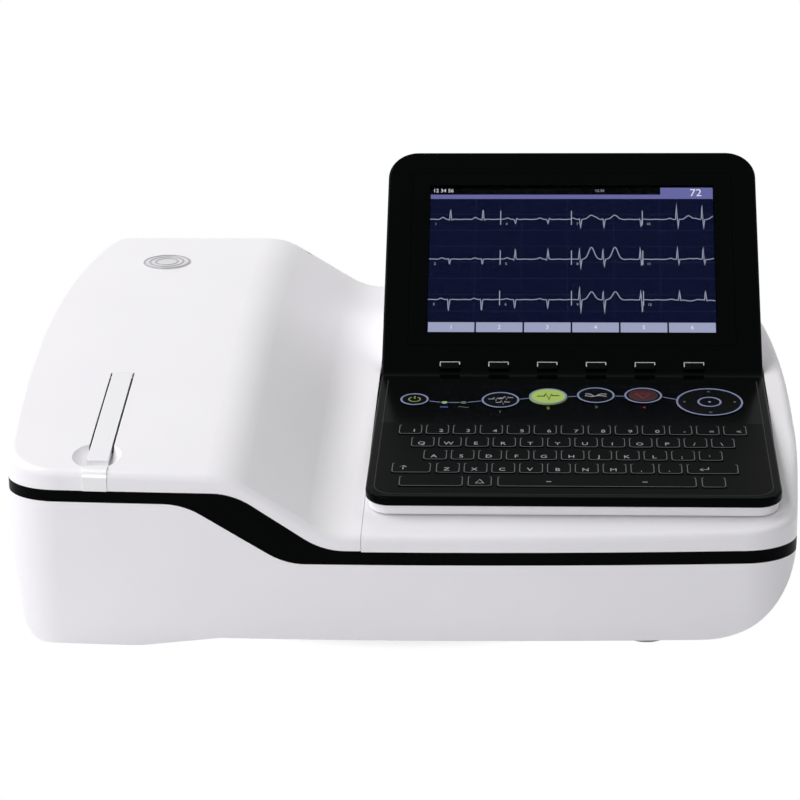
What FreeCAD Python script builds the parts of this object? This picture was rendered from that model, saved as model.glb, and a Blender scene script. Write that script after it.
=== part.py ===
"""Table-top ECG recorder with a lidded paper printer on its left and a bent console on its right.

Millimetres. +X is to the operator's right, -Y is the front, +Z is up.
The origin is on the table under the middle of the case.
"""
import FreeCAD, Part
import functools
import math
import os
import re

from FreeCAD import Placement, Rotation, Vector

SIZES = {
    # Case outline in plan: four bowed sides with rounded corners
    "case_width": "panel_width + 189.2", "case_depth": "key_length + 183.5", "case_wall": 2.5,
    "front_bow": 8.0, "rear_bow": 4.0, "side_bow": 21.0, "widest_y": "125 - case_depth/2",
    "corner_front_left": 28.0, "corner_front_right": 28.0, "corner_rear": 40.0,
    # Top: a high printer side, a slope and a low console deck, carried along a crowned line
    "lid_front_z": 86.7, "deck_front_z": 58.2, "slope_top_x": "113.5 - case_width/2",
    "slope_foot_x": "160.1 - case_width/2", "slope_round": 35.0, "front_pitch": 13.5, "mid_pitch": 11.0,
    "mid_pitch_y": "145 - case_depth/2", "pitch_spare": 1.0, "crown_y": "case_depth/2 - 30",
    "rear_roll": 60.0, "rear_pitch": -40.0, "top_round": 4.0,
    # Underside: a belly below the printer, a higher floor on the right
    "belly_z": 1.5, "floor_z": 6.3, "belly_start_x": "69 - case_width/2",
    "belly_end_x": "108 - case_width/2", "belly_round": 40.0, "left_draft": 13.2, "left_toe_round": 12.0,
    "right_wall_x": "case_width/2 - 4", "right_draft": 2.0, "right_toe_round": 45.0,
    # Dark band between the lower housing and the covers
    "band_top_left": 78.3, "band_top_right": 50.6, "band_top_x1": "116.2 - case_width/2",
    "band_top_x2": "158.5 - case_width/2", "band_low_left": 73.0, "band_low_right": 44.2,
    "band_low_x1": "92.3 - case_width/2", "band_low_x2": "140.5 - case_width/2", "band_round": 35.0,
    # Printer lid, its hinge and its latch
    "lid_edge_x": "console_x - panel_width/2 - 0.7", "lid_gap": 0.5, "lid_side_gap": 0.2, "hinge_radius": 9.5,
    "hinge_gap": 1.7, "hinge_y": "crown_y + 9", "hinge_pin_r": 2.0, "hinge_left_x": "39 - case_width/2",
    "hinge_right_x": "96 - case_width/2", "bracket_width": 8.0, "bracket_depth": 11.0, "lug_width": 4.0,
    "pin_clearance": 0.05, "side_clearance": 0.4, "lever_x": "50.5 - case_width/2", "lever_width": 10.2,
    "lever_gap": 0.9,
    "lever_front_y": "15 - case_depth/2", "lever_rear_y": "102 - case_depth/2", "lever_thick": 2.6,
    "lever_rise": 0.3, "lever_bed": 6.5, "lever_under": 1.2, "lever_pin_r": 0.8,
    "scoop_x": "lever_x - 1", "scoop_y": "17.5 - case_depth/2", "scoop_width": 23.0, "scoop_depth": 4.5,
    "trim_rear_y": "10 - case_depth/2", "trim_rise": 0.6, "trim_width": "lever_width + 1.2", "trim_bed": 1.4,
    "badge_x": "53.5 - case_width/2", "badge_y": "case_depth/2 - 78", "badge_diameter": 26.0,
    "badge_rise": 0.5, "badge_bed": 1.0, "tongue_x": "tray_centre_x + paper_width/2 + 11",
    "tongue_width": 6.0, "tongue_thick": 2.0, "tongue_y": "12.8 - case_depth/2", "tongue_foot_z": 64.0,
    "latch_bar_z": 79.9, "latch_bar_thick": 1.8, "latch_bar_depth": 4.0, "latch_guide": 3.0,
    "striker_gap": 0.8, "striker_height": 6.0, "striker_thick": 1.8,
    # Printer mechanism
    "paper_width": 80.0, "paper_length": 150.0, "paper_height": 34.0, "paper_side_gap": 3.0,
    "tray_centre_x": "67 - case_width/2", "tray_wall": 2.0, "tray_floor_z": 14.0,
    "tray_back_y": "tray_front_y + paper_length + 28", "tray_front_y": "47 - case_depth/2",
    "tray_height": 44.0, "cheek_front_y": "16 - case_depth/2", "cheek_back_y": "38 - case_depth/2",
    "cheek_top_z": 78.0, "platen_y": "26 - case_depth/2", "platen_z": 68.0, "platen_r": 8.0,
    "shaft_r": 3.0, "bush_r": 5.0, "bush_flange_r": 6.5, "bush_flange": 1.0, "gear_width": 5.0,
    "gear_module": 1.0, "platen_teeth": 18.0, "idler_teeth": 24.0, "pinion_teeth": 12.0,
    "gear_play": 0.25, "idler_angle": -52.0, "pinion_angle": -20.0, "idler_pin_r": 2.0,
    "motor_size": 35.0, "motor_length": 32.0, "motor_shaft_r": 2.5, "head_depth": 14.0,
    "head_height": 6.0, "head_gap": 0.4, "bracket_plate": 1.2, "head_arm": 4.0,
    # Console: a keyboard plate bent up into a display plate; the case is sized round it
    "console_x": "case_width/2 - 111.5", "bend_y": "key_length + 15.5 - case_depth/2",
    "bend_z": "72.51114 + key_length*sin(key_tilt)", "key_tilt": 8.0, "display_tilt": 44.9,
    "panel_width": 198.8, "panel_thick": 5.0, "key_length": 146.5, "display_length": 139.9,
    "bend_round": 8.0, "panel_front_round": 12.0, "panel_top_round": 16.0, "panel_edge": 1.3,
    "shell_inset": 1.4, "shell_wall": 2.5, "shell_gap": 0.8, "shell_top_depth": 14.0,
    "shell_back_y": "bend_y + 87", "shell_back_z": "bend_z + 19.1", "shell_back_round": 30.0,
    "tub_front": 22.0, "tub_side": 11.0, "tub_depth": 20.0, "tub_back_z": "bend_z - 14.9",
    "tub_back": 22.0, "tub_gap": 0.6, "window_width": "panel_width - 26.8",
    "window_length": "display_length - 31.9", "window_middle": "display_length/2 + 2.05",
    "window_thick": 2.0, "window_gap": 0.2, "lcd_width": "window_width - 6",
    "lcd_length": "window_length - 5", "lcd_thick": 7.0,
    # Soft keys at the foot of the display
    "soft_key_pitch": "panel_width/8 + 0.58", "soft_key_first": "0.075 - 2.5*soft_key_pitch",
    "soft_key_width": 10.7, "soft_key_length": 4.2, "soft_key_middle": 4.9, "soft_key_rise": 1.6,
    "soft_key_depth": 3.9, "key_gap": 0.3, "key_travel": 0.8,
    # Round keys and cursor pad
    "round_key": 19.4, "power_key": 14.6, "cursor_size": 34.0, "cursor_hub": 12.4, "round_key_rise": 0.5,
    "round_key_depth": 4.0, "key_scale": "panel_width/198.8", "light_diameter": 3.2,
    # Letter keys pressed into one overlay sheet
    "overlay_width": "panel_width - 7", "overlay_front": "3 - key_length", "overlay_back": -60.6,
    "overlay_thick": 0.8, "letter_width": "letter_pitch - 1.65", "letter_length": "letter_row - 4.1",
    "letter_pitch": "(panel_width - 37.4)/12", "letter_row": "(key_length - 86.9)/4",
    "letter_rise": 0.35, "first_row": -69.6, "switch_board_width": "panel_width - 32.8",
    "switch_board_length": "key_length - 49.5", "switch_board_middle": "-23.5 - switch_board_length/2",
    "switch_board_drop": 6.0, "board_thick": 1.6, "switch_size": 6.0,
    # Inside the case
    "board_x": "case_width/2 - 99", "board_y": "145 - case_depth/2", "board_width": "panel_width - 58.8",
    "board_length": "case_depth - 170", "board_stand": 10.0, "supply_x": "case_width/2 - 114",
    "supply_width": 90.0, "supply_length": 56.0, "supply_height": 36.0, "supply_y": "case_depth/2 - 61",
    "battery_x": "148 - case_width/2", "battery_width": 58.0, "battery_length": 120.0,
    "battery_height": 28.0, "cover_lip": 4.0, "cover_gap": 0.3, "speaker_x": "case_width/2 - 102",
    "speaker_y": "35 - case_depth/2", "speaker_d": 40.0, "speaker_height": 11.0, "speaker_hole_r": 1.5,
    "port_z": 30.0, "inlet_x": "case_width/2 - 94", "inlet_width": 27.0, "inlet_height": 20.0,
    "inlet_depth": 24.0, "lead_x": "case_width/2 - 159", "lead_width": 39.2, "lead_height": 12.5,
    "lead_depth": 14.0, "network_x": "case_width/2 - 209", "network_width": 16.0, "network_height": 14.0,
    "network_depth": 20.0, "usb_x": "case_width/2 - 239", "usb_width": 14.5, "usb_height": 7.5,
    "usb_depth": 16.0, "port_gap": 0.2, "port_rim": 1.6,
    # Feet, posts and screws
    "foot_diameter": 18.0, "foot_right_x": "case_width/2 - 76", "foot_left_x": "48 - case_width/2",
    "foot_y": "case_depth/2 - 26", "post_left_x": "lid_edge_x + 6.4",
    "post_right_x": "case_width/2 - 18.4", "post_y": "case_depth/2 - 55", "post_r": 4.0,
    "post_split_z": 46.0, "screw_r": 1.5, "screw_head_r": 2.6, "screw_head": 2.0, "screw_length": 28.0,
    "screw_seat_z": 26.0, "screw_clearance": 0.2,
}

doc = FreeCAD.newDocument("ecg_recorder")
sheet = doc.addObject("Spreadsheet::Sheet", "Sizes")
for row, alias in enumerate(SIZES, start=1):
    sheet.set("A%d" % row, alias)
    sheet.setAlias("B%d" % row, alias)
for row, number in enumerate(SIZES.values(), start=1):
    sheet.set("B%d" % row, "=" + number if isinstance(number, str) else str(number))
doc.recompute()

nodes = []


def size(alias):
    return float(sheet.get(alias))


def bound(text):
    """A formula in size names, written for the sheet."""
    return re.sub(r"[a-z_]+[0-9]?", lambda m: "Sizes." + m.group(0) if m.group(0) in SIZES else m.group(0),
                  str(text))


def node(label, shape_object):
    """Give a finished sub-part its name."""
    shape_object.Label = label
    nodes.append(shape_object)
    return shape_object


def place(item, x, y, z):
    for axis, text in zip("xyz", (x, y, z)):
        item.setExpression(".Placement.Base." + axis, bound(text))
    return item


def box(dx, dy, dz, x, y, z):
    item = doc.addObject("Part::Box", "Block")
    for side, text in zip(("Length", "Width", "Height"), (dx, dy, dz)):
        item.setExpression(side, bound(text))
    return place(item, x, y, z)


TURNS = {"x": Rotation(Vector(0, 1, 0), 90), "y": Rotation(Vector(1, 0, 0), -90), "z": Rotation()}


def rod(radius, length, x, y, z, along="z"):
    """A cylinder that starts at a point and runs along an axis."""
    item = doc.addObject("Part::Cylinder", "Rod")
    item.setExpression("Radius", bound(radius))
    item.setExpression("Height", bound(length))
    item.Placement = Placement(Vector(), TURNS[along])
    return place(item, x, y, z)


def on_plane(item, tilt, u, along, out):
    """Lay an item on the keyboard or display plane: across, along and out of it."""
    item.Placement = Placement(Vector(), Rotation(Vector(1, 0, 0), 10))
    item.setExpression(".Placement.Rotation.Angle", bound(tilt))
    y = "bend_y + (%s)*cos(%s) - (%s)*sin(%s)" % (along, tilt, out, tilt)
    z = "bend_z + (%s)*sin(%s) + (%s)*cos(%s)" % (along, tilt, out, tilt)
    return place(item, "console_x + (%s)" % u, y, z)


def plane_box(tilt, du, dalong, dout, u, along, out):
    """A block centred at u and along on a console plane, rising from out."""
    item = box(du, dalong, dout, 0, 0, 0)
    return on_plane(item, tilt, "%s - (%s)/2" % (u, du), "%s - (%s)/2" % (along, dalong), out)


def plane_rod(tilt, radius, length, u, along, out):
    return on_plane(rod(radius, length, 0, 0, 0), tilt, u, along, out)


def fused(*items):
    item = doc.addObject("Part::MultiFuse", "Joined")
    item.Shapes = list(items)
    return item


def cut(base, *tools):
    item = doc.addObject("Part::Cut", "Trimmed")
    item.Base = base
    item.Tool = tools[0] if len(tools) == 1 else fused(*tools)
    return item


def common(*items):
    item = doc.addObject("Part::MultiCommon", "Shared")
    item.Shapes = list(items)
    return item


def solid(shape, label="Shape"):
    item = doc.addObject("Part::Feature", label)
    item.Shape = shape
    return item


def rounded_wire(points, lift):
    """A closed outline through (a, b, radius) corners, with arcs at the rounded ones."""
    joins = []
    for (a, b, radius), before, after in zip(points, points[-1:] + points[:-1], points[1:] + points[:1]):
        here = Vector(a, b, 0)
        back = (Vector(before[0], before[1], 0) - here).normalize()
        ahead = (Vector(after[0], after[1], 0) - here).normalize()
        if radius == 0:
            joins.append((here, None, here))
            continue
        half = back.getAngle(ahead) / 2
        inward = (back + ahead).normalize()
        reach = radius / math.tan(half)
        top = here + inward * (radius / math.sin(half) - radius)
        joins.append((here + back * reach, top, here + ahead * reach))
    edges = []
    for (start, top, end), following in zip(joins, joins[1:] + joins[:1]):
        if top is not None:
            edges.append(Part.Arc(lift(start.x, start.y), lift(top.x, top.y), lift(end.x, end.y)).toShape())
        if (following[0] - end).Length > 1e-6:
            edges.append(Part.LineSegment(lift(end.x, end.y), lift(following[0].x, following[0].y)).toShape())
    return Part.Wire(edges)


def front_view(a, b):
    return Vector(a, 0, b)


def side_view(a, b):
    return Vector(0, a, b)


REACH = 1.3


def along_y(wire):
    """Extrude an outline of the front view right through the case."""
    depth = REACH * size("case_depth")
    wire = wire.copy()
    wire.translate(Vector(0, -depth / 2, 0))
    return Part.Face(wire).extrude(Vector(0, depth, 0))


def arc_height(span, bow):
    """Radius of a circle that bows out by bow at half of a chord of two spans."""
    return (span ** 2 + bow ** 2) / (2 * bow)


def plan_prism(inset):
    """The case outline seen from above, drawn in by inset and raised."""
    half_w, half_d = size("case_width") / 2, size("case_depth") / 2
    front_r = arc_height(half_w, size("front_bow"))
    rear_r = arc_height(half_w, size("rear_bow"))
    side_r = arc_height(half_d - size("widest_y"), size("side_bow"))
    up = Vector(0, 0, 1)
    front = Part.Circle(Vector(0, front_r - half_d, 0), up, front_r - inset)
    rear = Part.Circle(Vector(0, half_d - rear_r, 0), up, rear_r - inset)
    left = Part.Circle(Vector(side_r - half_w, size("widest_y"), 0), up, side_r - inset)
    right = Part.Circle(Vector(half_w - side_r, size("widest_y"), 0), up, side_r - inset)

    def meet(one, other, x, y):
        found = [Vector(p.X, p.Y, 0) for p in one.intersect(other)]
        return min(found, key=lambda p: (p - Vector(x, y, 0)).Length)

    corners = [meet(front, left, -half_w, -half_d), meet(front, right, half_w, -half_d),
               meet(rear, right, half_w, half_d), meet(rear, left, -half_w, half_d)]
    middles = [Vector(0, inset - half_d, 0), Vector(half_w - inset, size("widest_y"), 0),
               Vector(0, half_d - inset, 0), Vector(inset - half_w, size("widest_y"), 0)]
    edges = [Part.Arc(corners[i], middles[i], corners[(i + 1) % 4]).toShape() for i in range(4)]
    low = Vector(0, 0, -2 * size("floor_z"))
    prism = Part.Face(Part.Wire(edges)).extrude(Vector(0, 0, size("case_width")))
    prism.translate(low)
    radii = [size("corner_front_left"), size("corner_front_right"), size("corner_rear"), size("corner_rear")]
    for corner, radius in zip(corners, radii):
        upright = [e for e in prism.Edges
                   if all(math.hypot(v.X - corner.x, v.Y - corner.y) < 1e-3 for v in e.Vertexes)]
        prism = prism.makeFillet(radius - inset, upright)
    return prism


def under_prism(inset):
    """The case seen from the front below its top: drafted left wall, belly, floor and round right toe."""
    half_w = size("case_width") / 2
    high = size("case_width")
    draft = size("left_draft") / size("lid_front_z")
    toe_x = size("left_draft") - half_w
    points = [(toe_x - draft * high, high, 0), (toe_x, size("belly_z"), size("left_toe_round")),
              (size("belly_start_x"), size("belly_z"), size("belly_round")),
              (size("belly_end_x"), size("floor_z"), size("belly_round")),
              (size("right_wall_x") - size("right_draft"), size("floor_z"), size("right_toe_round")),
              (size("right_wall_x"), size("deck_front_z"), 0), (size("right_wall_x") + draft * high, high, 0)]
    wire = rounded_wire(points, front_view)
    if inset:
        wire = wire.makeOffset2D(-inset)
    return along_y(wire)


def crown_path():
    """The line that the top is carried along: two tangent arcs up to the crown, then the rear roll."""
    front_y = -size("case_depth") / 2
    first, second = math.radians(size("front_pitch")), math.radians(size("mid_pitch"))
    mid_y, top_y = size("mid_pitch_y"), size("crown_y")
    slow_r = (mid_y - front_y) / (math.sin(first) - math.sin(second))
    fast_r = (top_y - mid_y) / math.sin(second)
    slow_top = Vector(0, front_y + slow_r * math.sin(first), slow_r * (1 - math.cos(first)))
    mid_z = slow_top.z - slow_r * (1 - math.cos(second))
    top_z = mid_z + fast_r * (1 - math.cos(second))

    def point(centre_y, crest_z, radius, pitch):
        return Vector(0, centre_y - radius * math.sin(pitch), crest_z - radius * (1 - math.cos(pitch)))

    steep = first + math.radians(size("pitch_spare"))
    roll = math.radians(size("rear_pitch"))
    slow = [point(slow_top.y, slow_top.z, slow_r, p) for p in (steep, (steep + second) / 2, second)]
    fast = [point(top_y, top_z, fast_r, p) for p in (second, second / 2, 0)]
    rear = [point(top_y, top_z, size("rear_roll"), p) for p in (0, roll / 2, roll)]
    return Part.Wire([Part.Arc(*stretch).toShape() for stretch in (slow, fast, rear)]), slow[0], top_z


def top_sweep(inset):
    """Everything under the crowned, stepped top, lowered by inset."""
    path, start, _ = crown_path()
    wide, deep = size("case_width"), -size("case_depth")
    lid_z, deck_z = size("lid_front_z") - inset, size("deck_front_z") - inset
    points = [(-wide, lid_z, 0), (size("slope_top_x"), lid_z, size("slope_round")),
              (size("slope_foot_x"), deck_z, size("slope_round")), (wide, deck_z, 0),
              (wide, deep, 0), (-wide, deep, 0)]
    outline = rounded_wire(points, lambda a, b: Vector(a, start.y, b + start.z))
    sweep = Part.BRepOffsetAPI.MakePipeShell(path)
    sweep.setTrihedronMode(Vector(), Vector(0, 1, 0))
    sweep.add(outline)
    sweep.build()
    sweep.makeSolid()
    return sweep.shape()


# A face counts as a top face when its normal leans less than this from upright
UPWARD = 0.5


def faces_up(face):
    low_u, high_u, low_v, high_v = face.ParameterRange
    return face.normalAt((low_u + high_u) / 2, (low_v + high_v) / 2).z > UPWARD


@functools.lru_cache(maxsize=None)
def case_body(inset):
    """The whole case as one solid, drawn in by inset, with its top edge rounded."""
    body = plan_prism(inset).common(under_prism(inset)).common(top_sweep(inset))
    radius = size("top_round") - inset
    if inset > 0:
        return body
    met = {}
    for face in body.Faces:
        if faces_up(face):
            for edge in face.Edges:
                met.setdefault(edge.hashCode(), []).append(edge)
    return body.makeFillet(radius, [edges[0] for edges in met.values() if len(edges) == 1])


def step_points(left_x, left_z, right_x, right_z, far_z):
    """Corners of the region under a stepped line, down to far_z."""
    wide = size("case_width")
    bend = size("band_round")
    return [(-wide, left_z, 0), (left_x, left_z, bend), (right_x, right_z, bend), (wide, right_z, 0),
            (wide, far_z, 0), (-wide, far_z, 0)]


def below_band(lift=0.0):
    points = step_points(size("band_low_x1"), size("band_low_left") + lift,
                         size("band_low_x2"), size("band_low_right") + lift, -size("case_width"))
    return along_y(rounded_wire(points, front_view))


def below_covers(lift=0.0):
    points = step_points(size("band_top_x1"), size("band_top_left") + lift,
                         size("band_top_x2"), size("band_top_right") + lift, -size("case_width"))
    return along_y(rounded_wire(points, front_view))


wall = size("case_wall")
outer = case_body(0)
inner = case_body(wall)
skin = outer.cut(inner)
CROWN = crown_path()[2]
lid_top_z = size("lid_front_z") + CROWN
hinge_y = size("hinge_y")
roll_inside = size("rear_roll") - size("hinge_radius")
hinge_lean = math.asin((hinge_y - size("crown_y")) / roll_inside)
hinge_z = lid_top_z - size("rear_roll") + roll_inside * math.cos(hinge_lean)
far = size("case_width")


def lid_region(side_gap, hinge_gap):
    """Space of the printer lid: left of its edge, up to the hinge and round the hinge roll."""
    edge_x = size("lid_edge_x") + side_gap
    ahead = Part.makeBox(far, far, far, Vector(edge_x - far, hinge_y + side_gap - far, hinge_z - far / 2))
    ahead.rotate(Vector(0, hinge_y, hinge_z), Vector(1, 0, 0), -math.degrees(hinge_lean))
    roll = Part.makeCylinder(size("hinge_radius") + hinge_gap, far, Vector(edge_x - far, hinge_y, hinge_z),
                             Vector(1, 0, 0))
    return ahead.fuse(roll)


def plane_point(tilt, along, out):
    angle = math.radians(size(tilt))
    return (size("bend_y") + along * math.cos(angle) - out * math.sin(angle),
            size("bend_z") + along * math.sin(angle) + out * math.cos(angle))


def bend_point(out):
    """Where the two console planes, both moved by out, cross."""
    low, high = math.radians(size("key_tilt")), math.radians(size("display_tilt"))
    middle, reach = (low + high) / 2, out / math.cos((high - low) / 2)
    return (size("bend_y") - reach * math.sin(middle), size("bend_z") + reach * math.cos(middle))


def across_x(points, width, middle):
    face = Part.Face(rounded_wire(points, side_view))
    face.translate(Vector(middle - width / 2, 0, 0))
    return face.extrude(Vector(width, 0, 0))


def slanted_edges(shape, low, high):
    """Edges that run between two (y, z) points, on both sides of a shape."""
    def near(vertex, point):
        return math.hypot(vertex.Y - point[0], vertex.Z - point[1]) < 0.01
    return [e for e in shape.Edges if len(e.Vertexes) == 2 and (
        (near(e.Vertexes[0], low) and near(e.Vertexes[1], high)) or
        (near(e.Vertexes[1], low) and near(e.Vertexes[0], high)))]


def panel_blank(grow=0.0):
    """The bent plate, grown all round by grow."""
    thick = size("panel_thick") + grow
    front_top = plane_point("key_tilt", -size("key_length") - grow, grow)
    front_low = plane_point("key_tilt", -size("key_length") - grow, -thick)
    back_top = plane_point("display_tilt", size("display_length") + grow, grow)
    back_low = plane_point("display_tilt", size("display_length") + grow, -thick)
    bend_top, bend_low = bend_point(grow), bend_point(-thick)
    turn = size("bend_round")
    points = [front_top + (0,), bend_top + (turn - grow,), back_top + (0,), back_low + (0,),
              bend_low + (turn + thick,), front_low + (0,)]
    plate = across_x(points, size("panel_width") + 2 * grow, size("console_x"))
    plate = plate.makeFillet(size("panel_front_round") + grow, slanted_edges(plate, front_top, front_low))
    return plate.makeFillet(size("panel_top_round") + grow, slanted_edges(plate, back_top, back_low))


def panel_plate():
    """The bent plate with its upper rim rounded over."""
    plate = panel_blank()
    top = [face for face in plate.Faces
           if face.normalAt(*face.Surface.parameter(face.CenterOfMass)).z > UPWARD]
    met = {}
    for face in top:
        for edge in face.Edges:
            met.setdefault(edge.hashCode(), []).append(edge)
    return plate.makeFillet(size("panel_edge"), [edges[0] for edges in met.values() if len(edges) == 1])


def shell_points(inset, low_z):
    """Outline of the console's white shell seen from the side, under the panel."""
    under = size("panel_thick")
    front = plane_point("key_tilt", inset - size("key_length") + size("shell_inset"), -under)
    top = plane_point("display_tilt", size("display_length") - size("shell_inset") - inset, -under)
    top_back = plane_point("display_tilt", size("display_length") - size("shell_inset") - inset,
                           inset - under - size("shell_top_depth"))
    bend = bend_point(-under) + (size("bend_round") + under,)
    back = (size("shell_back_y") - inset, size("shell_back_z"))
    return [front + (0,), bend, top + (0,), top_back + (0,), back + (size("shell_back_round"),),
            (back[0], low_z, 0), (front[0], low_z, 0)]


def top_layer(low, high, tool):
    """The part of a tool that lies between two insets of the top surface."""
    return tool.common(top_sweep(low)).cut(top_sweep(high))


def tub_block(grow):
    """The part of the console that hangs through the deck, grown by grow at its front, back and sides."""
    under = size("panel_thick")
    start = size("tub_front") - size("key_length") - grow
    front = plane_point("key_tilt", start, -under)
    front_low = plane_point("key_tilt", start, -under - size("tub_depth") - grow)
    high = plane_point("display_tilt", size("window_middle"), -under)
    back_y = size("shell_back_y") - size("tub_back") + grow
    bend = bend_point(-under) + (size("bend_round") + under,)
    points = [front + (0,), bend, high + (0,), (back_y, high[1], 0), (back_y, size("tub_back_z") - grow, 0),
              front_low + (0,)]
    return across_x(points, size("panel_width") - 2 * size("tub_side") + 2 * grow, size("console_x"))


def console_shell():
    """White shell of the console: a rim over the deck, a tub below it and a wedge behind the display."""
    width = size("panel_width") - 2 * size("shell_inset")
    thin, gap = size("shell_wall"), size("shell_gap")
    low = size("band_top_right")
    points = shell_points(0, low)
    block = across_x(points, width, size("console_x"))
    front, top, top_back = points[0][:2], points[2][:2], points[3][:2]
    rim_round = size("panel_front_round") - size("shell_inset")
    top_round = size("panel_top_round") - size("shell_inset")
    block = block.makeFillet(rim_round, slanted_edges(block, front, (front[0], low)))
    block = block.makeFillet(top_round, slanted_edges(block, top, top_back))
    body = block.cut(top_sweep(-gap)).fuse(tub_block(0))
    points = shell_points(thin, low)
    front, top, top_back = points[0][:2], points[2][:2], points[3][:2]
    room = across_x(points, width - 2 * thin, size("console_x"))
    room = room.makeFillet(rim_round - thin, slanted_edges(room, front, (front[0], low)))
    room = room.makeFillet(top_round - thin, slanted_edges(room, top, top_back))
    body = body.cut(room.cut(top_sweep(-gap - thin)).fuse(tub_block(-thin)))
    pads = []
    for side in (-1, 1):
        for y in (plane_point("key_tilt", size("tub_front") / 2 - size("key_length"), 0)[0],
                  size("shell_back_y") - size("tub_back") / 2):
            x = size("console_x") + side * (width / 2 - size("tub_side"))
            pads.append(Part.makeCylinder(size("post_r"), far, Vector(x, y, low)))
    return body.fuse([top_layer(-gap - thin / 2, 0, pad) for pad in pads])


def surface_z(x, y):
    """Height of the case's top over a point."""
    probe = Part.makeLine(Vector(x, y, size("post_split_z")), Vector(x, y, far))
    return outer.common(probe).BoundBox.ZMax


def column(x, y, dx, dy):
    """A tall block that stands on the lid's lower edge."""
    return Part.makeBox(dx, dy, far, Vector(x, y, size("band_top_left") + size("lid_gap")))


lever_left = size("lever_x") - size("lever_width") / 2
lever_run = size("lever_rear_y") - size("lever_front_y")
side_gap = size("side_clearance")
pivot_y = size("lever_rear_y") - size("lever_thick")
pivot_z = surface_z(size("lever_x"), pivot_y) - size("lever_thick") / 2
case_front = -size("case_depth") / 2


def latch_lever():
    strip = top_layer(-size("lever_rise"), size("lever_thick"),
                      column(lever_left, size("lever_front_y"), size("lever_width"), lever_run))
    hole = Part.makeCylinder(size("lever_pin_r") + size("pin_clearance"), far,
                             Vector(-far, pivot_y, pivot_z), Vector(1, 0, 0))
    return strip.cut(hole)


def lever_pin_block(extra):
    reach = size("lever_width") + 2 * (size("lever_gap") + size("lever_thick"))
    return Part.makeCylinder(size("lever_pin_r") + extra, reach,
                             Vector(size("lever_x") - reach / 2, pivot_y, pivot_z), Vector(1, 0, 0))


def trim_layer():
    """Bright cap that wraps from the lid's top over its front edge, down to the band."""
    depth = size("trim_rear_y") - case_front + size("front_bow")
    width = size("trim_width")
    block = column(size("lever_x") - width / 2, size("trim_rear_y") - depth, width, depth)
    return case_body(-size("trim_rise")).cut(case_body(size("trim_bed"))).common(block)


def badge_layer():
    disc = Part.makeCylinder(size("badge_diameter") / 2, far,
                             Vector(size("badge_x"), size("badge_y"), size("band_top_left")))
    return top_layer(-size("badge_rise"), size("badge_bed"), disc)


def hinge_lugs():
    """Pairs of lugs under the lid, either side of each hinge bracket."""
    lugs = []
    depth, thick = size("bracket_depth"), size("lug_width")
    lug_lean = depth / 10
    for x in (size("hinge_left_x"), size("hinge_right_x")):
        for side in (-1, 1):
            start = x + side * (size("bracket_width") + thick + 2 * side_gap) / 2 - thick / 2
            lugs.append(Part.makeBox(thick, depth, far,
                                     Vector(start, hinge_y - depth / 2 - lug_lean, hinge_z - depth / 2)))
    return lugs


def latch_guides():
    """Two ribs under the lid's bed that the latch bar rests against."""
    width = size("latch_guide")
    rear_y = size("tongue_y") - size("tongue_thick") + size("latch_bar_depth") + size("side_clearance")
    return [Part.makeBox(width, wall, far, Vector(x, rear_y, size("latch_bar_z")))
            for x in (lever_left + size("lever_width"), lever_left - width)]


def printer_lid():
    lid = skin.cut(below_covers(size("lid_gap"))).common(lid_region(0, 0))
    bed_x = size("scoop_width") / 2 + wall
    bed = column(size("scoop_x") - bed_x, size("trim_rear_y") - wall, 2 * bed_x,
                 size("lever_rear_y") - size("trim_rear_y") + 3 * wall)
    upper = top_sweep(wall / 2)
    hung = [piece.common(upper) for piece in hinge_lugs() + latch_guides()]
    lid = lid.fuse([top_layer(wall / 2, size("lever_bed"), bed)] + hung)
    slot_run = lever_run + 2 * side_gap + size("lever_rise")
    slot = top_layer(-wall, size("lever_thick") + size("lever_under"),
                     column(lever_left - size("lever_gap"), size("lever_front_y") - side_gap,
                            size("lever_width") + 2 * size("lever_gap"), slot_run))
    half, deep = size("scoop_width") / 2, size("scoop_depth")
    ball = (half ** 2 + deep ** 2) / (2 * deep)
    scoop_z = surface_z(size("scoop_x"), size("scoop_y")) + ball - deep
    scoop = Part.makeSphere(ball, Vector(size("scoop_x"), size("scoop_y"), scoop_z))
    pins = [Part.makeCylinder(size("hinge_pin_r") + size("pin_clearance") / 2, far,
                              Vector(-far, hinge_y, hinge_z), Vector(1, 0, 0)),
            lever_pin_block(size("pin_clearance") / 2)]
    return lid.cut([slot, scoop, trim_layer(), badge_layer()] + pins)


TOOTH_TIP, TOOTH_ROOT = 0.85, 1.15
TOOTH_SHARES = (-0.29, -0.11, 0.11, 0.29)


def gear_blank(teeth, bore):
    """A spur gear standing on the XY plane with straight-flanked teeth, the first tooth on +X."""
    module = size("gear_module")
    pitch_r = teeth * module / 2
    tip_r, root_r = pitch_r + TOOTH_TIP * module, pitch_r - TOOTH_ROOT * module
    step = 2 * math.pi / teeth
    corners = []
    for index in range(int(teeth)):
        middle = index * step
        for radius, share in zip((root_r, tip_r, tip_r, root_r), TOOTH_SHARES):
            angle = middle + share * step
            corners.append(Vector(radius * math.cos(angle), radius * math.sin(angle), 0))
    face = Part.Face(Part.makePolygon(corners + corners[:1]))
    blank = face.extrude(Vector(0, 0, size("gear_width")))
    return blank.cut(Part.makeCylinder(bore, size("gear_width")))


def set_gear(shape, x, y, z, turn):
    """Stand a gear on the X axis at (y, z), its first tooth turned up from +Y by turn degrees."""
    item = solid(shape, "Gear")
    lie_down = Rotation(Vector(0, 1, 0), Vector(0, 0, 1), Vector(1, 0, 0), "XYZ")
    item.Placement = Placement(Vector(x, y, z), Rotation(Vector(1, 0, 0), turn) * lie_down)
    return item


def region(shape):
    return solid(shape, "Region")


inside_case = region(outer)

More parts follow.
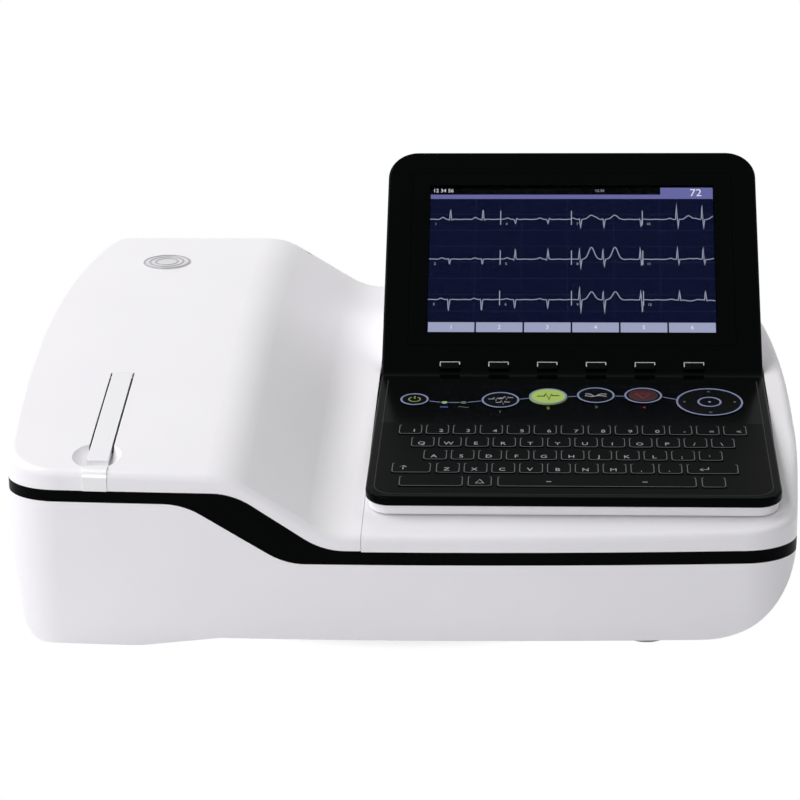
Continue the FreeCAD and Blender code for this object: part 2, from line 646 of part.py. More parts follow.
# Lower housing: shell, posts, pillars, openings
post_places = [(x, y) for x in ("post_left_x", "post_right_x") for y in ("-post_y", "post_y")]
floor_in = "floor_z + case_wall"
board_corners = [("board_x + %d*(board_width/2 - post_r)" % a, "board_y + %d*(board_length/2 - post_r)" % b)
                 for a in (-1, 1) for b in (-1, 1)]
hinge_places = ("hinge_left_x", "hinge_right_x")
pillar_top = "post_split_z + bracket_depth"
tray_left = "tray_centre_x - paper_width/2 - paper_side_gap - tray_wall"
tray_right = "tray_centre_x + paper_width/2 + paper_side_gap + tray_wall"
tray_feet = [("tray_centre_x + %d*paper_width/3" % a, y) for a in (-1, 1)
             for y in ("tray_front_y + 4*post_r", "tray_back_y - 4*post_r")]


def lower_housing():
    pieces = [region(skin.common(below_band()))]
    half_floor = "floor_z + case_wall/2"
    for x, y in post_places:
        pieces.append(rod("post_r", "post_split_z - belly_z", x, y, "belly_z"))
    for x, y in board_corners:
        pieces.append(rod("post_r", "case_wall/2 + board_stand", x, y, half_floor))
    for x in hinge_places:
        pieces.append(box("bracket_width + post_r", "bracket_depth + post_r",
                          "%s - belly_z - case_wall/2" % pillar_top,
                          "%s - (bracket_width + post_r)/2" % x,
                          "hinge_y - (bracket_depth + post_r)/2", "belly_z + case_wall/2"))
    for x, y in tray_feet:
        pieces.append(rod("post_r", "tray_floor_z - belly_z - case_wall/2", x, y, "belly_z + case_wall/2"))
    body = common(fused(*pieces), inside_case)
    tools = [box("battery_width + 2*cover_lip", "battery_length + 2*cover_lip", "board_stand",
                 "battery_x - battery_width/2 - cover_lip", "-battery_length/2 - cover_lip", "0")]
    for x, y in post_places:
        tools.append(rod("screw_r + screw_clearance", "post_split_z", x, y, "1"))
        tools.append(rod("screw_head_r + screw_clearance", "screw_seat_z", x, y, "0"))
    tools.append(rod("speaker_hole_r", "board_stand", "speaker_x", "speaker_y", "0"))
    for turn in range(0, 360, 60):
        tools.append(rod("speaker_hole_r", "board_stand", "speaker_x + speaker_d/4*cos(%d)" % turn,
                         "speaker_y + speaker_d/4*sin(%d)" % turn, "0"))
    for port in ("inlet", "lead", "network", "usb"):
        wide, tall, deep = port + "_width", port + "_height", port + "_depth"
        tools.append(box("%s + 2*port_gap" % wide, "case_depth/4", "%s + 2*port_gap" % tall,
                         "%s_x - %s/2 - port_gap" % (port, wide), "case_depth/2 - %s" % deep,
                         "port_z - %s/2 - port_gap" % tall))
    node("bottom_housing", cut(body, *tools))


def upper_cover():
    shape = skin.cut(below_covers()).cut(lid_region(size("lid_side_gap"), size("hinge_gap")))
    shape = shape.cut(tub_block(size("tub_gap"))).cut(panel_blank(size("tub_gap")))
    body = region(shape)
    posts = [common(rod("post_r", "case_width", x, y, "post_split_z"), inside_case) for x, y in post_places]
    pilots = [rod("screw_r + pin_clearance/2", "screw_length", x, y, "screw_seat_z") for x, y in post_places]
    node("top_cover", cut(fused(body, *posts), *pilots))


lower_housing()
node("band_trim", solid(skin.common(below_covers()).cut(below_band())))
upper_cover()
node("printer_lid", solid(printer_lid()))
node("latch_lever", solid(latch_lever()))
node("lever_pin", solid(lever_pin_block(0)))
node("catch_trim", solid(trim_layer()))
node("badge_disc", solid(badge_layer()))

# Latch bar under the lid, with one tongue beside the paper
node("latch_bar", fused(
    box("tongue_x + tongue_width/2 - lever_x", "latch_bar_depth", "latch_bar_thick", "lever_x",
        "tongue_y - tongue_thick", "latch_bar_z"),
    box("tongue_width", "tongue_thick", "latch_bar_z - tongue_foot_z", "tongue_x - tongue_width/2",
        "tongue_y - tongue_thick", "tongue_foot_z")))


# Hinge: two brackets on the housing's pillars and a pin in each pair of lugs
def group(items):
    item = doc.addObject("Part::Compound", "Group")
    item.Links = items
    return item


def hinge_bracket(x):
    left = "%s - bracket_width/2" % x
    foot_y = "hinge_y - bracket_depth/2"
    stem = box("bracket_width", "bracket_depth", "%f - (%s)" % (hinge_z, pillar_top), left, foot_y,
               pillar_top)
    eye = rod("bracket_depth/2", "bracket_width", left, "hinge_y", hinge_z, "x")
    hole = rod("hinge_pin_r + pin_clearance", "case_width", "-case_width", "hinge_y", hinge_z, "x")
    return cut(fused(stem, eye), hole)


pin_length = "bracket_width + 2*lug_width + 2*side_clearance"
node("hinge_brackets", group([hinge_bracket(x) for x in hinge_places]))
node("hinge_pins", group([
    rod("hinge_pin_r", pin_length, "%s - (%s)/2" % (x, pin_length), "hinge_y", hinge_z, "x")
    for x in hinge_places]))

# Paper tray with cheeks that carry the platen
cheek_run = "tray_back_y - cheek_front_y"


def tray_cheek(x):
    low = box("tray_wall", cheek_run, "tray_height", x, "cheek_front_y", "tray_floor_z")
    high = box("tray_wall", "cheek_back_y - cheek_front_y", "cheek_top_z - tray_floor_z", x, "cheek_front_y",
               "tray_floor_z")
    return fused(low, high)


def paper_tray():
    right_cheek = "%s - tray_wall" % tray_right
    inside = "paper_width + 2*paper_side_gap + 2*tray_wall"
    floor = box(inside, "tray_back_y - tray_front_y", "tray_wall", tray_left, "tray_front_y", "tray_floor_z")
    back = box(inside, "tray_wall", "tray_height", tray_left, "tray_back_y - tray_wall", "tray_floor_z")
    front = box(inside, "tray_wall", "tray_height", tray_left, "tray_front_y", "tray_floor_z")
    striker = box("tongue_x + tongue_width - (%s)" % right_cheek, "striker_thick", "striker_height",
                  right_cheek, "tongue_y + striker_gap", "tongue_foot_z")
    stay = box("tray_wall", "cheek_front_y - tongue_y - striker_gap", "striker_height", right_cheek,
               "tongue_y + striker_gap", "tongue_foot_z")
    body = fused(floor, back, front, tray_cheek(tray_left), tray_cheek(right_cheek), striker, stay)
    holes = rod("bush_r + pin_clearance/2", "case_width", "-case_width", "platen_y", "platen_z", "x")
    pin_hole = rod("idler_pin_r", "case_width", "tray_centre_x", idler_y, idler_z, "x")
    node("paper_tray", cut(body, holes, pin_hole))


idler_reach = "(gear_module*(platen_teeth + idler_teeth)/2 + gear_play)"
pinion_reach = "(gear_module*(idler_teeth + pinion_teeth)/2 + gear_play)"
idler_y = "platen_y + %s*cos(idler_angle)" % idler_reach
idler_z = "platen_z + %s*sin(idler_angle)" % idler_reach
pinion_y = "%s + %s*cos(pinion_angle)" % (idler_y, pinion_reach)
pinion_z = "%s + %s*sin(pinion_angle)" % (idler_z, pinion_reach)
gear_x = "%s + bush_flange + side_clearance" % tray_right


def worked_out(text):
    """The value of a formula in size names."""
    probe = doc.addObject("App::FeaturePython", "Probe")
    probe.addProperty("App::PropertyFloat", "Value")
    probe.setExpression("Value", bound(text))
    doc.recompute()
    answer = probe.Value
    doc.removeObject(probe.Name)
    return answer


def gears():
    x = worked_out(gear_x)
    play = size("pin_clearance")
    first, second = size("idler_angle"), size("pinion_angle")
    node("platen_gear", set_gear(gear_blank(size("platen_teeth"), size("shaft_r") + play / 2), x,
                                 size("platen_y"), size("platen_z"), first))
    half_idler = 180 / size("idler_teeth")
    idler_phase = first + 180 + half_idler
    node("idler_gear", set_gear(gear_blank(size("idler_teeth"), size("idler_pin_r") + play), x,
                                worked_out(idler_y), worked_out(idler_z), idler_phase))
    off_tooth = (second - idler_phase) % (2 * half_idler)
    gearing = size("idler_teeth") / size("pinion_teeth")
    pinion_phase = second + 180 + 180 / size("pinion_teeth") + off_tooth * gearing
    node("motor_pinion", set_gear(gear_blank(size("pinion_teeth"), size("motor_shaft_r") + play / 2), x,
                                  worked_out(pinion_y), worked_out(pinion_z), pinion_phase))


paper_tray()
gears()
node("paper_pack", box("paper_width", "paper_length", "paper_height", "tray_centre_x - paper_width/2",
                       "tray_back_y - tray_wall - paper_side_gap - paper_length", "tray_floor_z + tray_wall"))
roller_length = "paper_width + paper_side_gap"
bush_span = "tray_wall + bush_flange"
node("platen_roller", cut(
    rod("platen_r", roller_length, "tray_centre_x - (%s)/2" % roller_length, "platen_y", "platen_z", "x"),
    rod("shaft_r", "case_width", "-case_width", "platen_y", "platen_z", "x")))
shaft_start = "%s - bush_flange - side_clearance" % tray_left
node("platen_shaft", rod("shaft_r", "%s + gear_width - (%s)" % (gear_x, shaft_start), shaft_start, "platen_y",
                         "platen_z", "x"))


def platen_bush(x, flange_x):
    body = fused(rod("bush_r", bush_span, x, "platen_y", "platen_z", "x"),
                 rod("bush_flange_r", "bush_flange", flange_x, "platen_y", "platen_z", "x"))
    return cut(body, rod("shaft_r + pin_clearance", "case_width", "-case_width", "platen_y", "platen_z", "x"))


node("platen_bushes", group([
    platen_bush("%s - bush_flange" % tray_left, "%s - bush_flange" % tray_left),
    platen_bush("%s - tray_wall" % tray_right, tray_right)]))
node("idler_pin", rod("idler_pin_r", "%s + gear_width - (%s - tray_wall)" % (gear_x, tray_right),
                      "%s - tray_wall" % tray_right, idler_y, idler_z, "x"))

# Stepper motor on its own bracket, beside the gears
motor_face = "%s + gear_width + side_clearance + tray_wall" % gear_x
motor_low_z = "%s - motor_size/2" % pinion_z
node("motor_bracket", cut(
    fused(box("tray_wall", "motor_size", "%s + motor_size - (%s)" % (motor_low_z, floor_in),
              "%s - tray_wall" % motor_face, "%s - motor_size/2" % pinion_y, floor_in),
          box("motor_length/2", "motor_size", "tray_wall", "%s - tray_wall" % motor_face,
              "%s - motor_size/2" % pinion_y, floor_in)),
    rod("motor_shaft_r + side_clearance", "case_width", "tray_centre_x", pinion_y, pinion_z, "x")))
node("stepper_motor", box("motor_length", "motor_size", "motor_size", motor_face,
                          "%s - motor_size/2" % pinion_y, motor_low_z))
node("motor_shaft", rod("motor_shaft_r", "%s - (%s)" % (motor_face, gear_x), gear_x, pinion_y, pinion_z, "x"))

# Print head hung from the lid over the platen
head_low = "platen_z + platen_r + head_gap"
head_left = "tray_centre_x - paper_width/2"
node("print_head", box("paper_width", "head_depth", "head_height", head_left, "platen_y - head_depth/2",
                       head_low))
lid_room = region(inner)
head_top = "%s + head_height" % head_low
node("head_bracket", fused(
    box("paper_width", "head_depth/2", "bracket_plate", head_left, "platen_y", head_top),
    common(box("head_arm", "head_depth/2", "case_width", head_left, "platen_y", head_top), lid_room),
    common(box("paper_width/2", "head_depth/2", "case_width", "tray_centre_x", "platen_y", head_top),
           lid_room)))

# Console shell, panel and display
node("console_shell", solid(console_shell()))
KEYS = "key_tilt"
SCREEN = "display_tilt"


def key_place(u, along):
    """A place on the keyboard plate that keeps its share of the panel's width."""
    return "%g*key_scale" % u, along


ROUND_KEYS = {"leads_key": key_place(-36.4, -33.4), "start_key": key_place(-12.1, -28.6),
              "rhythm_key": key_place(12.3, -27.1), "stop_key": key_place(36.5, -27.2)}
POWER_PLACE = key_place(-80.4, -33.0)
CURSOR_PLACE = key_place(69.9, -35.0)
LIGHT_PLACES = (key_place(-65.0, -35.8), key_place(-55.2, -35.8))
soft_key_places = ["soft_key_first + %d*soft_key_pitch" % i for i in range(6)]
round_places = [(at, "round_key") for at in ROUND_KEYS.values()] + [(POWER_PLACE, "power_key"),
                                                                    (CURSOR_PLACE, "cursor_size")]


def console_panel():
    through = "3*panel_thick"
    tools = [plane_box(SCREEN, "window_width + 2*window_gap", "window_length + 2*window_gap", through, 0,
                       "window_middle", "-2*panel_thick")]
    for u in soft_key_places:
        tools.append(plane_box(SCREEN, "soft_key_width + 2*key_gap", "soft_key_length + 2*key_gap", through,
                               u, "soft_key_middle", "-2*panel_thick"))
    for (u, along), wide in round_places:
        tools.append(plane_rod(KEYS, "%s/2 + key_gap" % wide, through, u, along, "-2*panel_thick"))
    for u, along in LIGHT_PLACES:
        tools.append(plane_rod(KEYS, "light_diameter/2", through, u, along, "-2*panel_thick"))
    tools.append(plane_box(KEYS, "overlay_width", "overlay_back - overlay_front", "panel_thick", 0,
                           "(overlay_back + overlay_front)/2", "-overlay_thick"))
    body = fused(solid(panel_plate()), *[
        plane_rod(KEYS, "post_r", "switch_board_drop + panel_thick/2", u, along,
                  "-panel_thick - switch_board_drop")
        for u, along in board_posts])
    node("console_panel", cut(body, *tools))


board_posts = [("%d*(switch_board_width/2 - post_r)" % side, along) for side in (-1, 1)
               for along in ("overlay_back", "switch_board_middle - switch_board_length/2 + post_r")]
console_panel()
node("display_window", plane_box(SCREEN, "window_width", "window_length", "window_thick", 0, "window_middle",
                                 "-window_thick"))
node("lcd_module", plane_box(SCREEN, "lcd_width", "lcd_length", "lcd_thick", 0, "window_middle",
                             "-window_thick - lcd_thick"))


# Overlay sheet with the letter keys pressed up in rows
first_key = "-6*letter_pitch"
key_rows = [(0, "letter_width", [first_key + " + %d*letter_pitch" % i for i in range(13)]),
            (1, "letter_width", [first_key + " + %g*letter_pitch" % (i + 0.5) for i in range(12)]),
            (2, "letter_width", [first_key + " + %d*letter_pitch" % (i + 1) for i in range(11)]),
            (3, "letter_width", [first_key + " + %g*letter_pitch" % (i + 1.5) for i in range(9)])]
WIDE_KEYS = ((3, 19.2, -78.3), (3, 25.0, 67.4), (4, 31.0, -68.2), (4, 11.8, -44.7), (4, 95.5, 11.4),
             (4, 11.8, 67.2))


def letter_keys():
    pads = []
    for line, wide, places in key_rows:
        pads += [(line, wide, u) for u in places]
    pads += [(line, "%g*key_scale" % wide, "%g*key_scale" % u) for line, wide, u in WIDE_KEYS]
    return [plane_box(KEYS, wide, "letter_length", "letter_rise + overlay_thick", u,
                      "first_row - %d*letter_row" % line, "-overlay_thick") for line, wide, u in pads]


node("keypad_overlay", fused(
    plane_box(KEYS, "overlay_width", "overlay_back - overlay_front", "overlay_thick", 0,
              "(overlay_back + overlay_front)/2", "-overlay_thick"), *letter_keys()))

# Sprung keys: soft keys along the display, round keys and the cursor pad
KEY_HEIGHT = "round_key_depth + round_key_rise"
KEY_FOOT = "-round_key_depth"
for index, u in enumerate(soft_key_places, start=1):
    node("soft_key_%d" % index, plane_box(
        SCREEN, "soft_key_width", "soft_key_length", "soft_key_rise + soft_key_depth", u, "soft_key_middle",
        "-soft_key_depth"))
for name, (u, along) in ROUND_KEYS.items():
    node(name, plane_rod(KEYS, "round_key/2", KEY_HEIGHT, u, along, KEY_FOOT))
node("power_key", plane_rod(KEYS, "power_key/2", KEY_HEIGHT, *POWER_PLACE, KEY_FOOT))
node("cursor_pad", cut(
    plane_rod(KEYS, "cursor_size/2", KEY_HEIGHT, *CURSOR_PLACE, KEY_FOOT),
    plane_rod(KEYS, "cursor_hub/2 + key_gap", "3*panel_thick", *CURSOR_PLACE, "-2*panel_thick")))
node("cursor_hub", plane_rod(KEYS, "cursor_hub/2", KEY_HEIGHT, *CURSOR_PLACE, KEY_FOOT))
node("status_lights", group([plane_rod(KEYS, "light_diameter/2 - pin_clearance", "panel_thick", u, along,
                                       "-panel_thick") for u, along in LIGHT_PLACES]))

# Switch boards under the keys: each switch stops short of its key by a little more than the key's travel
switch_height = "switch_board_drop + panel_thick - round_key_depth - key_travel - key_gap"
board_top = "-panel_thick - switch_board_drop"


def key_board():
    board = plane_box(KEYS, "switch_board_width", "switch_board_length", "board_thick", 0,
                      "switch_board_middle", "%s - board_thick" % board_top)
    places = list(ROUND_KEYS.values()) + [POWER_PLACE, CURSOR_PLACE]
    switches = [plane_box(KEYS, "switch_size", "switch_size", "%s + board_thick/2" % switch_height, u, along,
                          "%s - board_thick/2" % board_top) for u, along in places]
    node("keypad_board", fused(board, *switches))


def soft_key_board():
    drop = "-soft_key_depth - key_travel - key_gap"
    strip = plane_box(SCREEN, "6*soft_key_pitch", "2*soft_key_length", "board_thick", 0, "soft_key_middle",
                      "%s - board_thick" % drop)
    node("soft_key_board", strip)


# Inside the case
def main_board():
    top = "%s + board_stand + board_thick" % floor_in
    plate = box("board_width", "board_length", "board_thick", "board_x - board_width/2",
                "board_y - board_length/2", "%s + board_stand" % floor_in)
    parts = [box("board_width/4", "board_width/4", "2*board_thick", "board_x - board_width/8", "board_y",
                 top),
             box("board_width/3", "board_length/4", "4*board_thick", "board_x - board_width/2.5",
                 "board_y - board_length/2.5", top),
             box("board_width/8", "board_length/2", "5*board_thick", "board_x + board_width/4",
                 "board_y - board_length/4", top)]
    node("main_board", fused(plate, *parts))


def port(name, depth_in):
    wide, tall, deep = name + "_width", name + "_height", name + "_depth"
    rear = worked_out("case_depth/2") - size("port_rim") * 2
    left = "%s_x - %s/2" % (name, wide)
    shell = box(wide, deep, tall, left, "%f - %s" % (rear, deep), "port_z - %s/2" % tall)
    mouth = box("%s - 2*port_rim" % wide, depth_in, "%s - 2*port_rim" % tall, "%s + port_rim" % left,
                "%f - (%s)" % (rear, depth_in), "port_z - %s/2 + port_rim" % tall)
    return cut(shell, mouth)


key_board()
soft_key_board()
main_board()
node("power_supply", box("supply_width", "supply_length", "supply_height", "supply_x - supply_width/2",
                         "supply_y - supply_length/2", floor_in))
node("battery_pack", box("battery_width", "battery_length", "battery_height", "battery_x - battery_width/2",
                         "-battery_length/2", floor_in))
cover_width = "battery_width + 2*cover_lip - 2*cover_gap"
cover_length = "battery_length + 2*cover_lip - 2*cover_gap"
node("battery_cover", box(cover_width, cover_length, "case_wall", "battery_x - (%s)/2" % cover_width,
                          "-(%s)/2" % cover_length, "floor_z"))
node("speaker", fused(rod("speaker_d/2", "speaker_height/3", "speaker_x", "speaker_y", floor_in),
                      rod("speaker_d/4", "speaker_height", "speaker_x", "speaker_y", floor_in)))
node("power_inlet", port("inlet", "inlet_depth - 2*port_rim"))
node("lead_connector", port("lead", "lead_depth/2"))
node("network_port", port("network", "network_depth - port_rim"))
node("usb_port", port("usb", "usb_depth - port_rim"))

# Feet and screws
feet = [rod("foot_diameter/2", "floor_z", "foot_right_x", y, "0") for y in ("-foot_y", "foot_y")]
feet += [rod("foot_diameter/2", "belly_z", "foot_left_x", y, "0") for y in ("-foot_y", "foot_y")]
node("feet", group(feet))


def case_screw(x, y):
    shank = rod("screw_r", "screw_length", x, y, "screw_seat_z")
    head = rod("screw_head_r", "screw_head", x, y, "screw_seat_z - screw_head")
    return fused(shank, head)


node("case_screws", group([case_screw(x, y) for x, y in post_places]))

doc.recompute()
for item in doc.Objects:
    if {"Invalid", "Error"} & set(item.State):
        raise RuntimeError("failed: " + item.Label)
for item in nodes:
    if item.Shape.isNull() or not item.Shape.isValid():
        raise RuntimeError("bad shape: " + item.Label)
os.makedirs("parts", exist_ok=True)
for item in nodes:
    item.Shape.exportStep(os.path.join("parts", item.Label + ".step"))
    print(item.Label, round(item.Shape.Volume, 1), len(item.Shape.Solids))
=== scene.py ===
import bpy
import math
from mathutils import Matrix, Vector


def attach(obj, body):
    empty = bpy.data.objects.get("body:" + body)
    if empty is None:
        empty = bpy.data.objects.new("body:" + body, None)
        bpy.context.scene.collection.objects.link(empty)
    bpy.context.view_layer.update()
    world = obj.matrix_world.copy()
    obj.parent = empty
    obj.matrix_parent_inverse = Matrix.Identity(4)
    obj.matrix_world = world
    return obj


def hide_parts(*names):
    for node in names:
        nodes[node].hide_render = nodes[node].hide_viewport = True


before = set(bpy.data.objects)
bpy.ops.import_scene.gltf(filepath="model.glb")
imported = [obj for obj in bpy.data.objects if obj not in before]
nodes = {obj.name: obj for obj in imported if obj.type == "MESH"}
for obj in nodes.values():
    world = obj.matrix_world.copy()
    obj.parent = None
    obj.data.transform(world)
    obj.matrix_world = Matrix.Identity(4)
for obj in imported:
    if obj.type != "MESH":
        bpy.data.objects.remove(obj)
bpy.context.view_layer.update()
mm = 0.001
print("frame loaded:", len(nodes), "nodes")


# small tools
def hexColor(code):
    parts = [int(code[i:i + 2], 16) / 255 for i in (0, 2, 4)]
    return [p / 12.92 if p <= 0.04045 else ((p + 0.055) / 1.055) ** 2.4 for p in parts] + [1.0]


def addNode(tree, kind, settings=None, links=None):
    made = tree.nodes.new(kind)
    for key, value in (settings or {}).items():
        if key in made.inputs:
            made.inputs[key].default_value = value
        else:
            setattr(made, key, value)
    for key, source in (links or {}).items():
        tree.links.new(source, made.inputs[key])
    return made


def deselectAll():
    if bpy.context.object and bpy.context.object.mode != "OBJECT":
        bpy.ops.object.mode_set(mode="OBJECT")
    bpy.ops.object.select_all(action="DESELECT")


def pick(*objs):
    deselectAll()
    for obj in objs:
        obj.select_set(True)
    bpy.context.view_layer.objects.active = objs[0]


def joined(objs, name):
    pick(*objs)
    if len(objs) > 1:
        bpy.ops.object.join()
    made = bpy.context.object
    made.name = name
    made.data.name = name
    return made


def applyAll(obj):
    pick(obj)
    for mod in list(obj.modifiers):
        bpy.ops.object.modifier_apply(modifier=mod.name)


def asMesh(obj):
    pick(obj)
    bpy.ops.object.convert(target="MESH")
    return bpy.context.object


def finishPiece(obj, body, material, smooth=30):
    obj.data.materials.clear()
    obj.data.materials.append(material)
    pick(obj)
    bpy.ops.object.transform_apply(location=True, rotation=True, scale=True)
    bpy.ops.object.shade_smooth_by_angle(angle=math.radians(smooth))
    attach(obj, body)
    return obj


# the two console planes, from the bend line
console = {"x": 82.5, "bendY": -3.0, "bendZ": 92.9, "keyTilt": 8.0, "displayTilt": 44.9}


def planeMatrix(tilt):
    place = Matrix.Translation(Vector((console["x"], console["bendY"], console["bendZ"])) * mm)
    return place @ Matrix.Rotation(math.radians(tilt), 4, "X")


keyPlane = planeMatrix(console["keyTilt"])
screenPlane = planeMatrix(console["displayTilt"])


def layOn(obj, plane):
    obj.data.transform(plane @ obj.matrix_basis)
    obj.matrix_basis = Matrix.Identity(4)
    return obj


# finishes: the colour drifts over this many millimetres, and the fine texture is raised by this share
texture = {"drift": 60, "relief": 0.15}


def surface(name, low, high, rough, grain, depth, stretch=(1, 1, 1), **sockets):
    # colour drifts between low and high; grain and depth of the fine texture are in millimetres
    made = bpy.data.materials.new(name)
    made.use_nodes = True
    tree = made.node_tree
    shader = tree.nodes["Principled BSDF"]
    for key, value in sockets.items():
        shader.inputs[key.replace("_", " ")].default_value = value
    spot = addNode(tree, "ShaderNodeTexCoord")
    turn = addNode(tree, "ShaderNodeMapping", {"Scale": stretch}, {"Vector": spot.outputs["Object"]})
    cloud = addNode(tree, "ShaderNodeTexNoise", {"Scale": 1000 / texture["drift"], "Detail": 2.0},
                    {"Vector": spot.outputs["Object"]})
    skin = addNode(tree, "ShaderNodeTexNoise", {"Scale": 1000 / grain, "Detail": 3.0},
                   {"Vector": turn.outputs["Vector"]})
    tint = addNode(tree, "ShaderNodeMixRGB", {"Color1": hexColor(low), "Color2": hexColor(high)},
                   {"Fac": cloud.outputs["Fac"]})
    spread = addNode(tree, "ShaderNodeMapRange", {"To Min": rough[0], "To Max": rough[1]},
                     {"Value": skin.outputs["Fac"]})
    bump = addNode(tree, "ShaderNodeBump", {"Strength": texture["relief"], "Distance": depth * mm},
                   {"Height": skin.outputs["Fac"]})
    tree.links.new(tint.outputs["Color"], shader.inputs["Base Color"])
    tree.links.new(spread.outputs["Result"], shader.inputs["Roughness"])
    tree.links.new(bump.outputs["Normal"], shader.inputs["Normal"])
    return made


def metal(name, low, high, rough, spacing, stretch, depth, metallic=1.0):
    # worked metal: fine lines along the grain
    return surface(name, low, high, rough, spacing, depth, stretch, Metallic=metallic)


# moulded white ABS of the housing and covers, with a soft sheen
whiteAbs = surface("glossWhiteAbs", "f3f1f5", "f8f6f9", (0.36, 0.4), 0.9, 0.0005)
# black moulded band, half matt
bandAbs = surface("blackBandAbs", "030404", "050606", (0.3, 0.4), 0.8, 0.006, Specular_IOR_Level=0.02)
# polished black acrylic of the bent console panel
panelAcrylic = surface("polishedBlackAcrylic", "020404", "030505", (0.1, 0.16), 2.0, 0.002,
                       Specular_IOR_Level=0.02)
# satin black polyester sheet with the letter keys
membraneFilm = surface("satinBlackPolyester", "020303", "040505", (0.25, 0.35), 0.6, 0.002,
                       Specular_IOR_Level=0.015)
# black key caps, a little duller than the panel
keyAbs = surface("blackKeyAbs", "040506", "070809", (0.18, 0.26), 0.8, 0.003, Specular_IOR_Level=0.03)
# grey inner mouldings of the printer
greyAbs = surface("greyMouldedAbs", "55575a", "5f6164", (0.4, 0.5), 0.8, 0.01)
# yellow-green start key
greenKeyAbs = surface("greenKeyAbs", "a9c55c", "b2cc68", (0.25, 0.33), 0.8, 0.003, Specular_IOR_Level=0.3)
# undyed nylon of gears and bushes
nylon = surface("naturalNylon", "dcd6c4", "e4dfd0", (0.4, 0.5), 0.7, 0.01)
# green solder mask of the circuit boards
circuitGreen = surface("solderMaskGreen", "0f5a34", "14693e", (0.3, 0.4), 1.2, 0.01)
# black glass-filled plastic of the connectors
blackPbt = surface("blackConnectorPbt", "131315", "1a1a1c", (0.4, 0.5), 0.8, 0.01)
# blue shrink wrap round the battery cells
cellWrap = surface("shrinkWrapBlue", "1d2a55", "24326a", (0.3, 0.4), 1.5, 0.01)
# grey rubber of the feet
footRubber = surface("greyFootRubber", "cfcfd2", "d7d7da", (0.7, 0.8), 0.9, 0.02)
# black rubber sleeve of the platen
rollerRubber = surface("blackRollerRubber", "151516", "1c1c1d", (0.6, 0.7), 0.9, 0.02)
# warm white chart paper
chartPaper = surface("chartPaper", "f1ece6", "f6f2ee", (0.75, 0.85), 0.5, 0.02)
# pale green lamp lens
greenLens = surface("greenLampLens", "8fae74", "9bb882", (0.2, 0.25), 0.8, 0.003)
# bright silver paint of the lever and the catch, brushed along its length
silverTrim = metal("brightSilverTrim", "eeeef0", "f3f3f5", (0.22, 0.3), 0.5, (8, 0.4, 8), 0.004, 0.2)
# satin silver of the badge
badgeMetal = metal("satinBadgeMetal", "d6d5d8", "dedde0", (0.3, 0.38), 0.4, (1, 1, 1), 0.006, 0.2)
# dull grey in the sunk lines of the badge
badgeGrey = metal("greyBadgeLine", "a19fa3", "aba9ad", (0.3, 0.38), 0.4, (1, 1, 1), 0.006, 0.2)
# ground steel of shafts, pins and brackets
groundSteel = metal("groundSteel", "9b9da0", "aaacae", (0.3, 0.4), 0.5, (0.3, 6, 6), 0.006)
# zinc-plated sheet of the power supply
zincSheet = metal("zincSheet", "8f9295", "a2a5a8", (0.35, 0.5), 6.0, (1, 1, 1), 0.01)
# black enamel of the motor can
motorBlack = surface("blackMotorEnamel", "1a1a1c", "222224", (0.35, 0.45), 0.7, 0.01)
print("finishes made")

nodeFinish = {
    "bottom_housing": whiteAbs, "top_cover": whiteAbs, "printer_lid": whiteAbs, "console_shell": whiteAbs,
    "battery_cover": whiteAbs, "band_trim": bandAbs, "console_panel": panelAcrylic,
    "keypad_overlay": membraneFilm, "latch_lever": silverTrim, "catch_trim": silverTrim,
    "badge_disc": badgeMetal, "lcd_module": panelAcrylic, "display_window": panelAcrylic,
    "start_key": greenKeyAbs, "status_lights": greenLens,
    "platen_gear": nylon, "idler_gear": nylon, "motor_pinion": nylon, "platen_bushes": nylon,
    "paper_tray": greyAbs, "print_head": greyAbs, "platen_roller": rollerRubber, "feet": footRubber,
    "paper_pack": chartPaper, "keypad_board": circuitGreen, "soft_key_board": circuitGreen,
    "main_board": circuitGreen, "stepper_motor": motorBlack, "power_supply": zincSheet,
    "battery_pack": cellWrap, "speaker": blackPbt, "power_inlet": blackPbt, "lead_connector": blackPbt,
    "network_port": blackPbt, "usb_port": blackPbt}
for keyName in ("leads_key", "rhythm_key", "stop_key", "power_key", "cursor_pad", "cursor_hub"):
    nodeFinish[keyName] = keyAbs
for number in range(1, 7):
    nodeFinish["soft_key_%d" % number] = keyAbs
for steelName in ("lever_pin", "latch_bar", "hinge_brackets", "hinge_pins", "platen_shaft", "idler_pin",
                  "motor_bracket", "motor_shaft", "head_bracket", "case_screws"):
    nodeFinish[steelName] = groundSteel
for name, obj in nodes.items():
    obj.data.materials.clear()
    obj.data.materials.append(nodeFinish[name])
print("finishes on", len(nodeFinish), "nodes")


# pieces laid on the console: all sizes in millimetres across, along and out of a plane
def slab(u, along, wide, long, out, thick, edge=0.0):
    deselectAll()
    bpy.ops.mesh.primitive_cube_add(size=1.0)
    obj = bpy.context.object
    obj.scale = (wide * mm, long * mm, thick * mm)
    obj.location = (u * mm, along * mm, (out + thick / 2) * mm)
    bpy.ops.object.transform_apply(location=True, rotation=True, scale=True)
    if edge:
        bevel = obj.modifiers.new("edge", "BEVEL")
        bevel.width, bevel.segments = edge * mm, 2
        applyAll(obj)
    return obj


def line(points, half, out, closed=False, flat=0.3):
    data = bpy.data.curves.new("line", "CURVE")
    data.dimensions = "3D"
    data.bevel_depth, data.bevel_resolution, data.use_fill_caps = half * mm, 1, True
    spline = data.splines.new("POLY")
    spline.points.add(len(points) - 1)
    for point, (u, along) in zip(spline.points, points):
        point.co = (u * mm, along * mm, 0, 1)
    spline.use_cyclic_u = closed
    obj = bpy.data.objects.new("line", data)
    bpy.context.scene.collection.objects.link(obj)
    obj = asMesh(obj)
    obj.data.transform(Matrix.Translation((0, 0, out * mm)) @ Matrix.Diagonal((1, 1, flat, 1)))
    return obj


